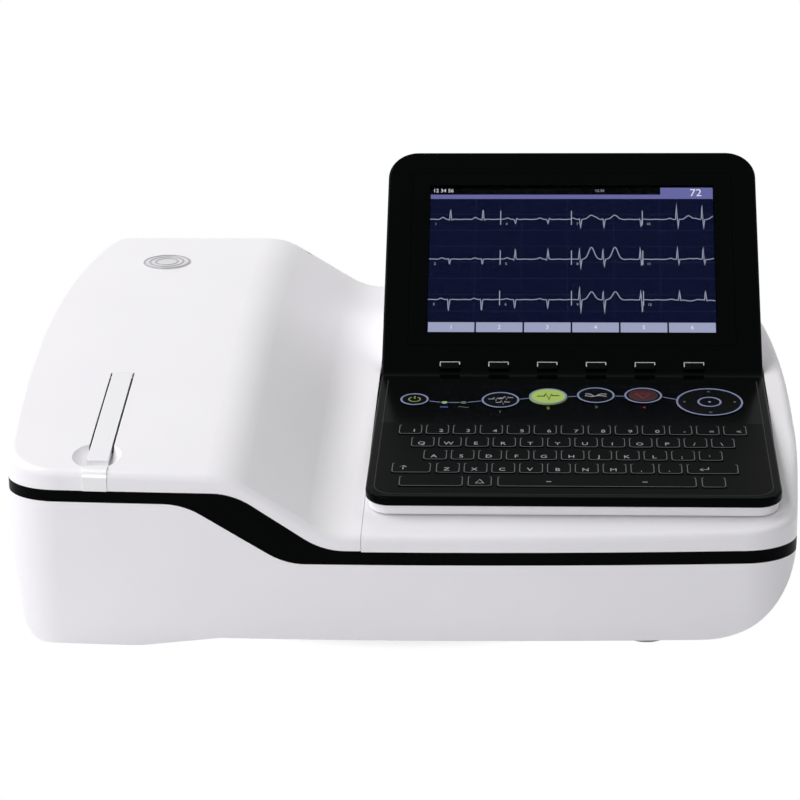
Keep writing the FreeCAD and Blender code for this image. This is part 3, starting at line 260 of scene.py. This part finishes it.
def arc(u, along, radius, start, end, steps=24):
    turns = [math.radians(start + (end - start) * i / steps) for i in range(steps + 1)]
    return [(u + radius * math.cos(t), along + radius * math.sin(t)) for t in turns]


def placed(shape, u, along):
    return [(u + x, along + y) for x, y in shape]


def words(text, u, along, height, out, align="CENTER"):
    deselectAll()
    bpy.ops.object.text_add()
    obj = bpy.context.object
    obj.data.body = text
    obj.data.size = height * mm / 0.7
    obj.data.align_x, obj.data.align_y = align, "CENTER"
    obj.data.extrude = 0.02 * mm
    obj.data.resolution_u = 3
    obj = asMesh(obj)
    obj.data.transform(Matrix.Translation((u * mm, along * mm, out * mm)))
    return obj


def ring(u, along, radius, half, out):
    deselectAll()
    bpy.ops.mesh.primitive_torus_add(major_radius=radius * mm, minor_radius=half * mm, major_segments=64,
                                     minor_segments=8, location=(u * mm, along * mm, out * mm))
    obj = bpy.context.object
    bpy.ops.object.mode_set(mode="EDIT")
    bpy.ops.mesh.select_all(action="SELECT")
    bpy.ops.transform.resize(value=(1, 1, 0.35), center_override=(u * mm, along * mm, out * mm))
    bpy.ops.object.mode_set(mode="OBJECT")
    bpy.ops.object.transform_apply(location=True, rotation=True, scale=True)
    return obj


def disc(u, along, radius, out, thick):
    deselectAll()
    bpy.ops.mesh.primitive_cylinder_add(vertices=64, radius=radius * mm, depth=thick * mm,
                                        location=(u * mm, along * mm, (out + thick / 2) * mm))
    obj = bpy.context.object
    bpy.ops.object.transform_apply(location=True, rotation=True, scale=True)
    bevel = obj.modifiers.new("edge", "BEVEL")
    bevel.width, bevel.segments, bevel.limit_method = thick * 0.4 * mm, 2, "ANGLE"
    applyAll(obj)
    return obj


def onPlane(objs, name, plane, body, material):
    return finishPiece(layOn(joined(objs, name), plane), body, material)


def lit(name, color, strength):
    # light that leaves a display: a black surface that glows evenly
    return surface(name, "010101", "020202", (0.35, 0.45), 0.5, 0.002, Specular_IOR_Level=0.0,
                   Emission_Color=hexColor(color), Emission_Strength=strength)


def printed(name, color, glow=0.0):
    # screen-printed ink: a thin, slightly uneven matt film; a glow above nought is painted light that makes
    # the ink a little brighter than the lamps do, and the same film also carries the painted groove shade and
    # the painted edge highlights below
    return surface(name, color, color, (0.45, 0.6), 0.4, 0.003, Specular_IOR_Level=0.2,
                   Emission_Color=hexColor(color), Emission_Strength=glow)


# dark navy field of the picture
navyGlow = lit("navyDisplayGlow", "0c112b", 1.0)
# faint grid lines
gridGlow = lit("gridDisplayGlow", "1c2140", 1.0)
# grey-white traces and figures
traceGlow = lit("traceDisplayGlow", "9a9eb2", 1.0)
# bright white of the large figures
figureGlow = lit("figureDisplayGlow", "dfe1ec", 1.0)
# lavender bar at the head
barGlow = lit("lavenderDisplayGlow", "66679f", 1.0)
# lighter lavender boxes at the foot
boxGlow = lit("keyLabelDisplayGlow", "9aa0bd", 1.0)
# each ink below glows faintly by its last number: painted light that brightens it
# grey outlines of the letter keys
greyInk = printed("greyLegendInk", "63666b", 0.02)
# pale legends
paleInk = printed("paleLegendInk", "a0a3a9", 0.03)
# blue rings of the round keys
ringInk = printed("blueRingInk", "7c86a8", 0.06)
# yellow-green signs
greenInk = printed("greenMarkInk", "98a55c", 0.03)
# dimmer green of the power sign
dimGreenInk = printed("dimGreenMarkInk", "7f8850", 0.01)
# dark red face of the stop key
redInk = printed("redMarkInk", "2c090d", 0.02)
# brighter red of its sign
signRedInk = printed("signRedMarkInk", "8c2029", 0.03)
# black sign on the start key
blackInk = printed("blackMarkInk", "0b0c08")
# blue battery mark
blueInk = printed("blueMarkInk", "2e457c", 0.02)
# grey face of an unlit lamp, with a faint painted glow
lampInk = printed("unlitLampInk", "5d625f", 0.02)

# display: window, picture and label boxes; places on the picture are shares of its width and height
screen = {"left": -76.2, "right": 76.2, "low": 26.4, "high": 117.7, "window": (172.0, 108.0, 72.0),
          "paneWide": 153.2, "paneLow": 25.8, "paneHigh": 118.3, "glass": 1.1, "layer": -1.97, "step": 0.14,
          "film": 0.8}
picture = {"header": 0.049, "bar": 0.078, "rateField": 0.815, "rows": 3, "columns": 4, "firstRow": 0.223,
           "rowTall": 0.277}
labels = {"count": 6, "top": 0.93, "foot": 0.998, "gap": 0.003, "edge": 0.05}
gridLines = {"apart": 0.162, "uprights": 5, "top": 0.187, "rowApart": 0.111, "levels": 7, "wide": 0.3,
             "thick": 0.05}
screenWide = screen["right"] - screen["left"]
screenTall = screen["high"] - screen["low"]


def down(share):
    return screen["high"] - share * screenTall


def over(share):
    return screen["left"] + share * screenWide


# coated cover glass: the low IOR stands for its coat, which leaves little mirror image
coatedGlass = surface("coatedCoverGlass", "ffffff", "ffffff", (0.02, 0.04), 4.0, 0.001, IOR=1.04,
                      Transmission_Weight=1.0)


def windowFrame():
    wide, tall, middle = screen["window"]
    sideWide, top, foot = wide / 2 - screen["paneWide"] / 2, screen["paneHigh"], screen["paneLow"]
    upper, lower = middle + tall / 2, middle - tall / 2
    sides = [slab(side * (wide - sideWide) / 2, middle, sideWide, tall, -screen["glass"], screen["glass"])
             for side in (-1, 1)]
    ends = [slab(0, (low + high) / 2, screen["paneWide"], high - low, -screen["glass"], screen["glass"])
            for low, high in ((lower, foot), (top, upper))]
    return sides + ends


pane = slab(0, (screen["paneHigh"] + screen["paneLow"]) / 2, screen["paneWide"],
            screen["paneHigh"] - screen["paneLow"], -screen["glass"], screen["glass"])
windowPane = onPlane([pane], "windowPane", screenPlane, "base", coatedGlass)
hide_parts("display_window")
onPlane(windowFrame(), "windowFrame", screenPlane, "base", panelAcrylic)


def onScreen(objs, name, material):
    return onPlane(objs, name, screenPlane, "base", material)


def field(left, right, top, foot, layer, edge=0.0):
    out = screen["layer"] + layer * screen["step"]
    return slab((over(left) + over(right)) / 2, (down(top) + down(foot)) / 2, (right - left) * screenWide,
                (foot - top) * screenTall, out, screen["step"] * screen["film"], edge)


def gridSlabs():
    out = screen["layer"] + screen["step"]
    made = [slab(over(gridLines["apart"] * i), (down(picture["bar"]) + down(1)) / 2, gridLines["wide"],
                 screenTall * (1 - picture["bar"]), out, gridLines["thick"])
            for i in range(1, gridLines["uprights"] + 1)]
    made += [slab(0, down(gridLines["top"] + gridLines["rowApart"] * i), screenWide, gridLines["wide"], out,
                  gridLines["thick"]) for i in range(gridLines["levels"])]
    return made


onScreen([field(0, 1, picture["bar"], 1, 0)], "screenField", navyGlow)
onScreen(gridSlabs(), "screenGrid", gridGlow)
onScreen([field(0, 1, picture["header"], picture["bar"], 1),
          field(picture["rateField"], 1, 0, picture["header"], 1)], "statusBar", barGlow)
onScreen([field(i / labels["count"] + labels["gap"], (i + 1) / labels["count"] - labels["gap"], labels["top"],
                labels["foot"], 1, labels["edge"]) for i in range(labels["count"])], "labelBoxes", boxGlow)

# each cell: beats as (place, P, Q, R, S, T) with heights as shares of the row
beats = {
    (0, 0): [(0.29, 0.05, -0.04, 0.28, -0.03, 0.0), (0.75, 0.05, -0.04, 0.28, -0.03, 0.0)],
    (0, 1): [(0.21, 0.04, -0.02, -0.13, 0.03, 0.0), (0.67, 0.04, -0.02, -0.13, 0.03, 0.0)],
    (0, 2): [(0.13, 0.03, 0.04, -0.24, 0.0, 0.11), (0.46, 0.03, 0.04, -0.24, 0.0, 0.11),
             (0.98, 0.0, 0.03, -0.22, 0.0, 0.0)],
    (0, 3): [(0.5, 0.03, 0.42, -0.26, 0.0, 0.09), (0.86, 0.03, 0.42, -0.26, 0.0, 0.09)],
    (1, 0): [(0.29, 0.03, 0.03, -0.14, 0.0, 0.0), (0.75, 0.03, 0.03, -0.14, 0.0, 0.0)],
    (1, 1): [(0.21, 0.04, -0.05, 0.28, 0.0, 0.0), (0.67, 0.04, -0.05, 0.28, 0.0, 0.0)],
    (1, 2): [(0.13, 0.0, 0.32, -0.27, 0.0, 0.3), (0.46, 0.0, 0.32, -0.22, 0.0, 0.3),
             (0.98, 0.0, 0.34, -0.2, 0.0, 0.0)],
    (1, 3): [(0.5, 0.03, 0.34, -0.16, 0.0, 0.02), (0.86, 0.03, 0.34, -0.16, 0.0, 0.02)],
    (2, 0): [(0.29, 0.03, 0.03, -0.3, 0.0, 0.0), (0.75, 0.03, 0.03, -0.3, 0.0, 0.0)],
    (2, 1): [(0.21, 0.03, 0.0, -0.24, 0.0, 0.0), (0.67, 0.03, 0.0, -0.24, 0.0, 0.0)],
    (2, 2): [(0.13, 0.0, 0.38, -0.36, 0.0, 0.2), (0.46, 0.0, 0.28, -0.36, 0.0, 0.2),
             (0.98, 0.0, 0.28, -0.36, 0.0, 0.0)],
    (2, 3): [(0.5, 0.02, -0.02, 0.24, -0.03, -0.03), (0.86, 0.02, -0.02, 0.24, -0.03, -0.03)]}
# the five waves of a beat: how far each lies from the beat's place, and its width, as shares of a cell
waveShapes = [(-0.11, 0.03), (-0.016, 0.008), (0.0, 0.009), (0.02, 0.01), (0.15, 0.055)]
trace = {"half": 0.24, "layer": 2.2, "samples": 130, "ripple": 0.004, "ripples": 40, "below": 3.5,
         "above": 5.5}
traceOut = screen["layer"] + trace["layer"] * screen["step"]


def rowBase(row):
    return down(picture["firstRow"] + picture["rowTall"] * row)


def hump(x, centre, width):
    return math.exp(-((x - centre) / width) ** 2)


def traceHeight(x, cell):
    total = trace["ripple"] * math.sin(trace["ripples"] * x)
    for place, *heights in cell:
        for height, (shift, width) in zip(heights, waveShapes):
            total += height * hump(x, place + shift, width)
    return total


def tracePoints(row):
    points = []
    for column in range(picture["columns"]):
        for i in range(trace["samples"]):
            x = i / trace["samples"]
            rise = picture["rowTall"] * screenTall * traceHeight(x, beats[(row, column)])
            points.append((over((column + x) / picture["columns"]), rowBase(row) + rise))
    return points


traces = []
for row in range(picture["rows"]):
    traces.append(line(tracePoints(row), trace["half"], traceOut))
    for column in range(1, picture["columns"]):
        cellLeft = over(column / picture["columns"])
        ends = [(cellLeft, rowBase(row) - trace["below"]), (cellLeft, rowBase(row) + trace["above"])]
        traces.append(line(ends, trace["half"], traceOut))
onScreen(traces, "heartTraces", traceGlow)

# plain numbers on the picture: text heights in millimetres, places as shares
figures = {"cellTall": 1.5, "cellRight": 3.2, "cellDrop": 3.0, "boxTall": 2.4, "boxAt": 0.963,
           "headAt": 0.022, "clockTall": 1.6, "clockAt": 0.6, "rateTall": 4.6, "rateAt": (0.94, 0.038),
           "leftTall": 2.2, "leftAt": 0.008}
marks = [words(str(row + picture["rows"] * column + 1),
               over(column / picture["columns"]) + figures["cellRight"],
               rowBase(row) - figures["cellDrop"], figures["cellTall"], traceOut)
         for row in range(picture["rows"]) for column in range(picture["columns"])]
boxMarks = [words(str(i + 1), over((i + 0.5) / labels["count"]), down(figures["boxAt"]), figures["boxTall"],
                  traceOut) for i in range(labels["count"])]
onScreen(boxMarks, "boxNumbers", figureGlow)
marks += [words("12.34", over(figures["clockAt"]), down(figures["headAt"]), figures["clockTall"], traceOut)]
onScreen(marks, "screenNumbers", traceGlow)
rateOver, rateDown = figures["rateAt"]
bigMarks = [words("72", over(rateOver), down(rateDown), figures["rateTall"], traceOut),
            words("12 34 56", over(figures["leftAt"]), down(figures["headAt"]), figures["leftTall"], traceOut,
                  "LEFT")]
onScreen(bigMarks, "screenFigures", figureGlow)
print("display made")

# letter keys: printed outlines and legends; middle is the column over the plate's middle line
letters = {"pitch": 13.45, "row": 14.9, "first": -69.6, "middle": 6, "width": 11.8, "length": 10.8,
           "out": 0.36, "line": 0.2, "corner": 1.6, "inset": 0.4, "hook": (0.9, 0.4), "legend": -0.6,
           "digit": 2.5, "legendDrop": 1.6, "legendTall": 3.3, "mark": 0.3, "closedMark": 0.35}
keyRows = [(0.0, "1234567890-=<"), (0.5, "QWERTYUIOP/\\"), (1.0, "ASDFGHJKL;'"), (1.5, "ZXCVBNM,.")]
# wider keys: row, width, place across and mark
wideKeys = [(3, 19.2, -78.3, "shift"), (3, 25.0, 67.4, "enter"), (4, 31.0, -68.2, ""),
            (4, 11.8, -44.7, "home"), (4, 95.5, 11.4, "space"), (4, 11.8, 67.2, "")]
keyMarks = {"shift": [[(-4, -2), (-4, 2.4), (-5.6, 0.8), (-4, 2.4), (-2.4, 0.8)]],
            "enter": [[(-2, 1.6), (-2, -0.6), (-6, -0.6), (-4.6, 0.8), (-6, -0.6), (-4.6, -2)]],
            "home": [[(-2, -2), (2, -2), (0, 2)]],
            "space": [[(-24.2, 0), (-21.8, 0)], [(21.8, 0), (24.2, 0)]], "": []}


def keyOutline(u, along, wide):
    x, y, r = wide / 2 - letters["inset"], letters["length"] / 2 - letters["inset"], letters["corner"]
    hookIn, hookFall = letters["hook"]
    points = [(u - x + hookIn, along + y), (u - x, along + y - hookFall)]
    points += arc(u - x + r, along - y + r, r, 180, 270, 4)
    points += arc(u + x - r, along - y + r, r, 270, 360, 4)
    points += [(u + x, along + y - hookFall), (u + x - hookIn, along + y)]
    return line(points, letters["line"], letters["out"])


outlines, legends = [], []
for index, (shift, caps) in enumerate(keyRows):
    along = letters["first"] - letters["row"] * index
    legendShift = letters["legend"] + letters["digit"] * (index == 0)
    for place, cap in enumerate(caps):
        u = (place - letters["middle"] + shift) * letters["pitch"]
        outlines.append(keyOutline(u, along, letters["width"]))
        legends.append(words(cap, u + legendShift, along - letters["legendDrop"], letters["legendTall"],
                             letters["out"]))
for index, wide, u, mark in wideKeys:
    along = letters["first"] - letters["row"] * index
    outlines.append(keyOutline(u, along, wide))
    half = letters["closedMark"] if mark == "home" else letters["mark"]
    legends += [line(placed(shape, u, along), half, letters["out"], mark == "home")
                for shape in keyMarks[mark]]
onPlane(outlines, "keyOutlines", keyPlane, "base", greyInk)
onPlane(legends, "keyLegends", keyPlane, "base", paleInk)

# fine groove inside the edge of the keyboard plate, drawn as a thin black line of painted shade
groove = {"side": 95.2, "back": -8.0, "front": -142.6, "corner": 9.0, "half": 0.3, "out": 0.02}
# painted shade: black where the groove's shadow falls
grooveShade = printed("paintedGrooveShade", "010101")


def groovePath():
    x, front, r = groove["side"], groove["front"], groove["corner"]
    left = arc(-x + r, front + r, r, 180, 270, 6)
    right = [(-u, along) for u, along in reversed(left)]
    return [(-x, groove["back"])] + left + right + [(x, groove["back"])]


onPlane([line(groovePath(), groove["half"], groove["out"])], "plateGroove", keyPlane, "base", grooveShade)
print("letter keys printed")

# round keys: place across, place along and radius
roundKeys = {
    "leads_key": (-36.4, -33.4, 9.7), "start_key": (-12.1, -28.6, 9.7), "rhythm_key": (12.3, -27.1, 9.7),
    "stop_key": (36.5, -27.2, 9.7), "power_key": (-80.4, -33.0, 7.3), "cursor_pad": (69.9, -35.0, 17.0),
    "cursor_hub": (69.9, -35.0, 6.2)}
keyTop = 0.5
printOut = 0.02
keyRing = {"inset": 0.55, "half": 0.5}


def onKey(objs, name, key, material):
    return onPlane(objs, name, keyPlane, key + "_cap", material)


for key, (u, along, radius) in roundKeys.items():
    first, second = key.split("_")
    onKey([ring(u, along, radius - keyRing["inset"], keyRing["half"], keyTop)],
          first + second.title() + "Ring", key, ringInk)

# signs on the round keys, as points from the key's middle
beatShape = [(-6, 0), (-2.2, 0), (-1.2, 2.2), (0.4, -2.6), (1.6, 1.4), (2.4, 0.4), (6, 0.4)]
signs = {"beatTall": 1.7, "leads": [(-2.6, 1.0), (2.8, 2.4), (1.2, -3.2)], "leadsScale": 0.6,
         "leadsLine": 0.36, "startScale": 0.95, "startLine": 0.6, "powerRadius": 2.9, "powerGap": (125, 415),
         "powerBar": [(0, 0.6), (0, 3.6)], "powerLine": 0.4, "rhythmLine": 0.4,
         "rhythm": [[(-5.5, 1.6), (-3, 1.4), (-0.6, -1.6), (2.4, 1.6), (5.5, 1.4)],
                    [(-5.5, -0.6), (-2, -1.8), (1.6, -0.4), (5.5, -1.4)]],
         "stop": [(-4, 2.4), (4, 2.4), (0, -4)], "stopDisc": 7.6, "stopRise": 0.1, "stopLine": 0.35,
         "arrow": [(12.4, 0.7), (13.2, 0), (12.4, -0.7)], "arrowLine": 0.35, "dot": 0.8, "disc": 0.08}


def zigzag(u, along, scale):
    return [(u + x * scale, along + signs["beatTall"] * y * scale) for x, y in beatShape]


u, along, radius = roundKeys["power_key"]
gapStart, gapEnd = signs["powerGap"]
onKey([line(arc(u, along, signs["powerRadius"], gapStart, gapEnd), signs["powerLine"], keyTop),
       line(placed(signs["powerBar"], u, along), signs["powerLine"], keyTop)],
      "powerSign", "power_key", dimGreenInk)
u, along, radius = roundKeys["leads_key"]
onKey([line(zigzag(u + x, along + y, signs["leadsScale"]), signs["leadsLine"], keyTop)
       for x, y in signs["leads"]], "leadsSign", "leads_key", paleInk)
u, along, radius = roundKeys["start_key"]
onKey([line(zigzag(u, along, signs["startScale"]), signs["startLine"], keyTop)],
      "startSign", "start_key", blackInk)
u, along, radius = roundKeys["rhythm_key"]
onKey([line(placed(shape, u, along), signs["rhythmLine"], keyTop) for shape in signs["rhythm"]], "rhythmSign",
      "rhythm_key", paleInk)
u, along, radius = roundKeys["stop_key"]
onKey([disc(u, along, signs["stopDisc"], keyTop, signs["disc"])], "stopDisc", "stop_key", redInk)
onKey([line(placed(signs["stop"], u, along), signs["stopLine"], keyTop + signs["stopRise"], True)],
      "stopSign", "stop_key", signRedInk)
u, along, radius = roundKeys["cursor_pad"]
arrows = []
for quarter in range(4):
    c, s = math.cos(math.radians(90 * quarter)), math.sin(math.radians(90 * quarter))
    turned = [(x * c - y * s, x * s + y * c) for x, y in signs["arrow"]]
    arrows.append(line(placed(turned, u, along), signs["arrowLine"], keyTop, True))
onKey(arrows, "cursorArrows", "cursor_pad", greyInk)
onKey([disc(u, along, signs["dot"], keyTop, signs["disc"])], "cursorDot", "cursor_hub", ringInk)

# line that joins the rings, numbers under the keys and marks by the lamps
joinHalf = 0.3
joins = [((-72.6, -34.2), (-67.0, -35.6)), ((-63.0, -35.8), (-57.2, -35.8)), ((-53.2, -35.6), (-46.4, -33.9)),
         ((-26.6, -31.4), (-21.9, -30.2)), ((-2.2, -28.0), (2.4, -27.6)), ((22.2, -27.1), (26.6, -27.2)),
         ((46.3, -28.0), (53.3, -31.0))]
onPlane([line(ends, joinHalf, printOut) for ends in joins], "ringLine", keyPlane, "base", ringInk)
numbers = {"leads_key": (greyInk, "1"), "start_key": (greenInk, "2"), "rhythm_key": (greyInk, "3"),
           "stop_key": (signRedInk, "4")}
numberText = {"drop": 4.2, "tall": 2.8}
for key, (ink, sign) in numbers.items():
    u, along, radius = roundKeys[key]
    onPlane([words(sign, u, along - radius - numberText["drop"], numberText["tall"], printOut)],
            key.split("_")[0] + "Number", keyPlane, "base", ink)
lampMarks = {"battery": (-65.0, -41.5), "batterySize": (4.0, 1.7), "batteryThick": 0.05,
             "mains": (-55.2, -35.8), "mainsRadius": 1.5, "mainsThick": 0.06, "waveLine": 0.25,
             "wave": [(-58.0, -41.5), (-56.6, -40.9), (-55.2, -41.5), (-53.8, -42.1), (-52.4, -41.5)]}
onPlane([slab(*lampMarks["battery"], *lampMarks["batterySize"], 0.0, lampMarks["batteryThick"])],
        "batteryMark", keyPlane, "base", blueInk)
onPlane([disc(*lampMarks["mains"], lampMarks["mainsRadius"], 0.0, lampMarks["mainsThick"])], "mainsLampFace",
        keyPlane, "base", lampInk)
onPlane([line(lampMarks["wave"], lampMarks["waveLine"], printOut)], "mainsMark", keyPlane, "base", greyInk)
print("round keys marked")

# soft keys: caps with a painted highlight along the upper edge that runs a little way down both sides
softKeys = {"first": -63.5, "pitch": 25.43, "middle": 4.9, "width": 10.7, "length": 4.2, "rise": 1.6,
            "depth": 3.9, "round": 0.45, "edgeHalf": 0.28, "edgeSide": 0.3, "edgeTop": 0.35, "leftFall": 2.6,
            "rightFall": 1.6}
# pale painted highlight along the upper edge of a cap, for the light that edge catches
edgeHighlight = printed("paintedEdgeHighlight", "c4c6ca", 0.05)


def softKeyHighlight(u):
    x = softKeys["width"] / 2 - softKeys["edgeSide"]
    top = softKeys["middle"] + softKeys["length"] / 2 - softKeys["edgeTop"]
    points = [(u - x, top - softKeys["leftFall"]), (u - x, top), (u + x, top),
              (u + x, top - softKeys["rightFall"])]
    return line(points, softKeys["edgeHalf"], softKeys["rise"])


for number in range(1, 7):
    key = "soft_key_%d" % number
    u = softKeys["first"] + softKeys["pitch"] * (number - 1)
    cap = slab(u, softKeys["middle"], softKeys["width"], softKeys["length"], -softKeys["depth"],
               softKeys["depth"] + softKeys["rise"], softKeys["round"])
    cap = onPlane([cap], "softKeyCap%d" % number, screenPlane, key + "_cap", keyAbs)
    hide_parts(key)
    onPlane([softKeyHighlight(u)], "softKeyEdge%d" % number, screenPlane, key + "_cap", edgeHighlight)
print("soft keys made")

# badge: plain rings on a disc
badge = {"x": -140.5, "y": 87.0, "z": 132.25, "slope": 3.4, "rings": (12.4, 9.2, 6.0), "half": 0.45}
badgePlane = Matrix.Translation(Vector((badge["x"], badge["y"], badge["z"])) * mm) @ Matrix.Rotation(
    math.radians(badge["slope"]), 4, "X")
onPlane([ring(0, 0, radius, badge["half"], 0) for radius in badge["rings"]], "badgeRings", badgePlane, "lid",
        badgeGrey)
print("badge made")

# lever slot: a dark sheet of painted shade under the lever, which shows as dark lines of shadow in the gaps
# beside the silver lever
leverSlot = {"x": -143.5, "frontY": -136.5, "frontZ": 93.5, "rearY": -62.7, "rearZ": 109.6, "half": 5.95,
             "wall": 0.15, "foot": -3.7, "top": -0.35}
slotRise = leverSlot["rearZ"] - leverSlot["frontZ"]
slotRun = leverSlot["rearY"] - leverSlot["frontY"]
slotLong = math.hypot(slotRise, slotRun)
slotPlane = Matrix.Translation(Vector((leverSlot["x"], leverSlot["frontY"], leverSlot["frontZ"])) * mm)
slotPlane = slotPlane @ Matrix.Rotation(math.atan2(slotRise, slotRun), 4, "X")
slotShadeSlabs = [slab(0, slotLong / 2, 2 * leverSlot["half"], slotLong, leverSlot["foot"], leverSlot["wall"])]
slotShadeSlabs += [slab(side * (leverSlot["half"] - leverSlot["wall"] / 2), slotLong / 2, leverSlot["wall"], slotLong,
                leverSlot["foot"], leverSlot["top"] - leverSlot["foot"]) for side in (-1, 1)]
onPlane(slotShadeSlabs, "leverSlotPaintedShade", slotPlane, "lid", bandAbs)
print("lever slot shaded")

# studio: the camera in millimetres; the floor, the lamps and the floor's white edge in metres
studio = {"lens": 125.42, "sensor": 36.0, "camera": (71.3, -1406.5, 482.0),
          "forward": (-0.05371, 0.95976, -0.27564), "up": (-0.00381, 0.27584, 0.9612),
          "floorSize": 12.0, "floorZ": -0.0002, "paintedTo": 0.1, "whiteFrom": 0.16, "ambient": 0.22}
lamps = {
    "leftTopSoftbox": {"size": (1.4, 1.6), "power": 28.0, "place": (-1.3, 0.1, 1.5), "aim": (-0.05, 0, 0.06)},
    "rightTopSoftbox": {"size": (1.0, 1.4), "power": 4.5, "place": (1.4, 0.2, 1.4), "aim": (0.05, 0, 0.06)},
    "frontFill": {"size": (1.4, 0.9), "power": 14.5, "place": (-1.1, -1.9, 1.0), "aim": (0.0, 0, 0.06)}}


def addCamera():
    data = bpy.data.cameras.new("photoCamera")
    data.lens = studio["lens"]
    data.sensor_width = studio["sensor"]
    cam = bpy.data.objects.new("photoCamera", data)
    bpy.context.scene.collection.objects.link(cam)
    ahead, up = Vector(studio["forward"]).normalized(), Vector(studio["up"])
    right = ahead.cross(up).normalized()
    up = right.cross(ahead)
    turn = Matrix((right, up, -ahead)).transposed().to_4x4()
    cam.matrix_world = Matrix.Translation(Vector(studio["camera"]) * mm) @ turn
    bpy.context.scene.camera = cam


def addLamp(name, size, power, place, aim):
    data = bpy.data.lights.new(name, "AREA")
    data.shape = "RECTANGLE"
    data.size, data.size_y = size
    data.energy = power
    lamp = bpy.data.objects.new(name, data)
    bpy.context.scene.collection.objects.link(lamp)
    lamp.location = place
    lamp.rotation_mode = "QUATERNION"
    lamp.rotation_quaternion = (Vector(aim) - Vector(place)).to_track_quat("-Z", "Y")


def whiteRays(tree):
    # one for rays from the camera, in mirror images and through glass, none for rays that light the object
    path = addNode(tree, "ShaderNodeLightPath")
    seen = path.outputs["Is Camera Ray"]
    for ray in ("Is Glossy Ray", "Is Transmission Ray"):
        total = addNode(tree, "ShaderNodeMath", {"operation": "ADD", "use_clamp": True})
        tree.links.new(seen, total.inputs[0])
        tree.links.new(path.outputs[ray], total.inputs[1])
        seen = total.outputs["Value"]
    return seen


def addFloor():
    deselectAll()
    bpy.ops.mesh.primitive_plane_add(size=studio["floorSize"], location=(0, 0, studio["floorZ"]))
    floor = bpy.context.object
    floor.name = "studioFloor"
    # matt pale floor paint
    made = surface("paleFloorPaint", "f2f2f5", "f5f5f7", (0.85, 0.95), 3.0, 0.01, Specular_IOR_Level=0.1)
    tree = made.node_tree
    shader = tree.nodes["Principled BSDF"]
    floor.data.materials.append(made)
    # away from the object's middle the camera sees plain white, near it the painted floor and its shadow
    spot = addNode(tree, "ShaderNodeTexCoord")
    away = addNode(tree, "ShaderNodeVectorMath", {"operation": "LENGTH"}, {"Vector": spot.outputs["Object"]})
    near = addNode(tree, "ShaderNodeMapRange",
                   {"From Min": studio["paintedTo"], "From Max": studio["whiteFrom"]},
                   {"Value": away.outputs["Value"]})
    seen = addNode(tree, "ShaderNodeMath", {"operation": "MULTIPLY"})
    tree.links.new(near.outputs["Result"], seen.inputs[0])
    tree.links.new(whiteRays(tree), seen.inputs[1])
    glow = addNode(tree, "ShaderNodeEmission", {"Color": hexColor("ffffff"), "Strength": 1.0})
    mixed = addNode(tree, "ShaderNodeMixShader", {}, {"Fac": seen.outputs["Value"]})
    tree.links.new(shader.outputs["BSDF"], mixed.inputs[1])
    tree.links.new(glow.outputs["Emission"], mixed.inputs[2])
    tree.links.new(mixed.outputs["Shader"], tree.nodes["Material Output"].inputs["Surface"])


def setWorld():
    world = bpy.data.worlds.new("softStudio")
    world.use_nodes = True
    tree = world.node_tree
    back = tree.nodes["Background"]
    back.inputs["Color"].default_value = hexColor("ffffff")
    level = addNode(tree, "ShaderNodeMapRange", {"To Min": studio["ambient"], "To Max": 1.0},
                    {"Value": whiteRays(tree)})
    tree.links.new(level.outputs["Result"], back.inputs["Strength"])
    bpy.context.scene.world = world


addCamera()
addFloor()
setWorld()
for name, settings in lamps.items():
    addLamp(name, **settings)
bpy.context.scene.view_settings.view_transform = "Standard"
print("studio ready")
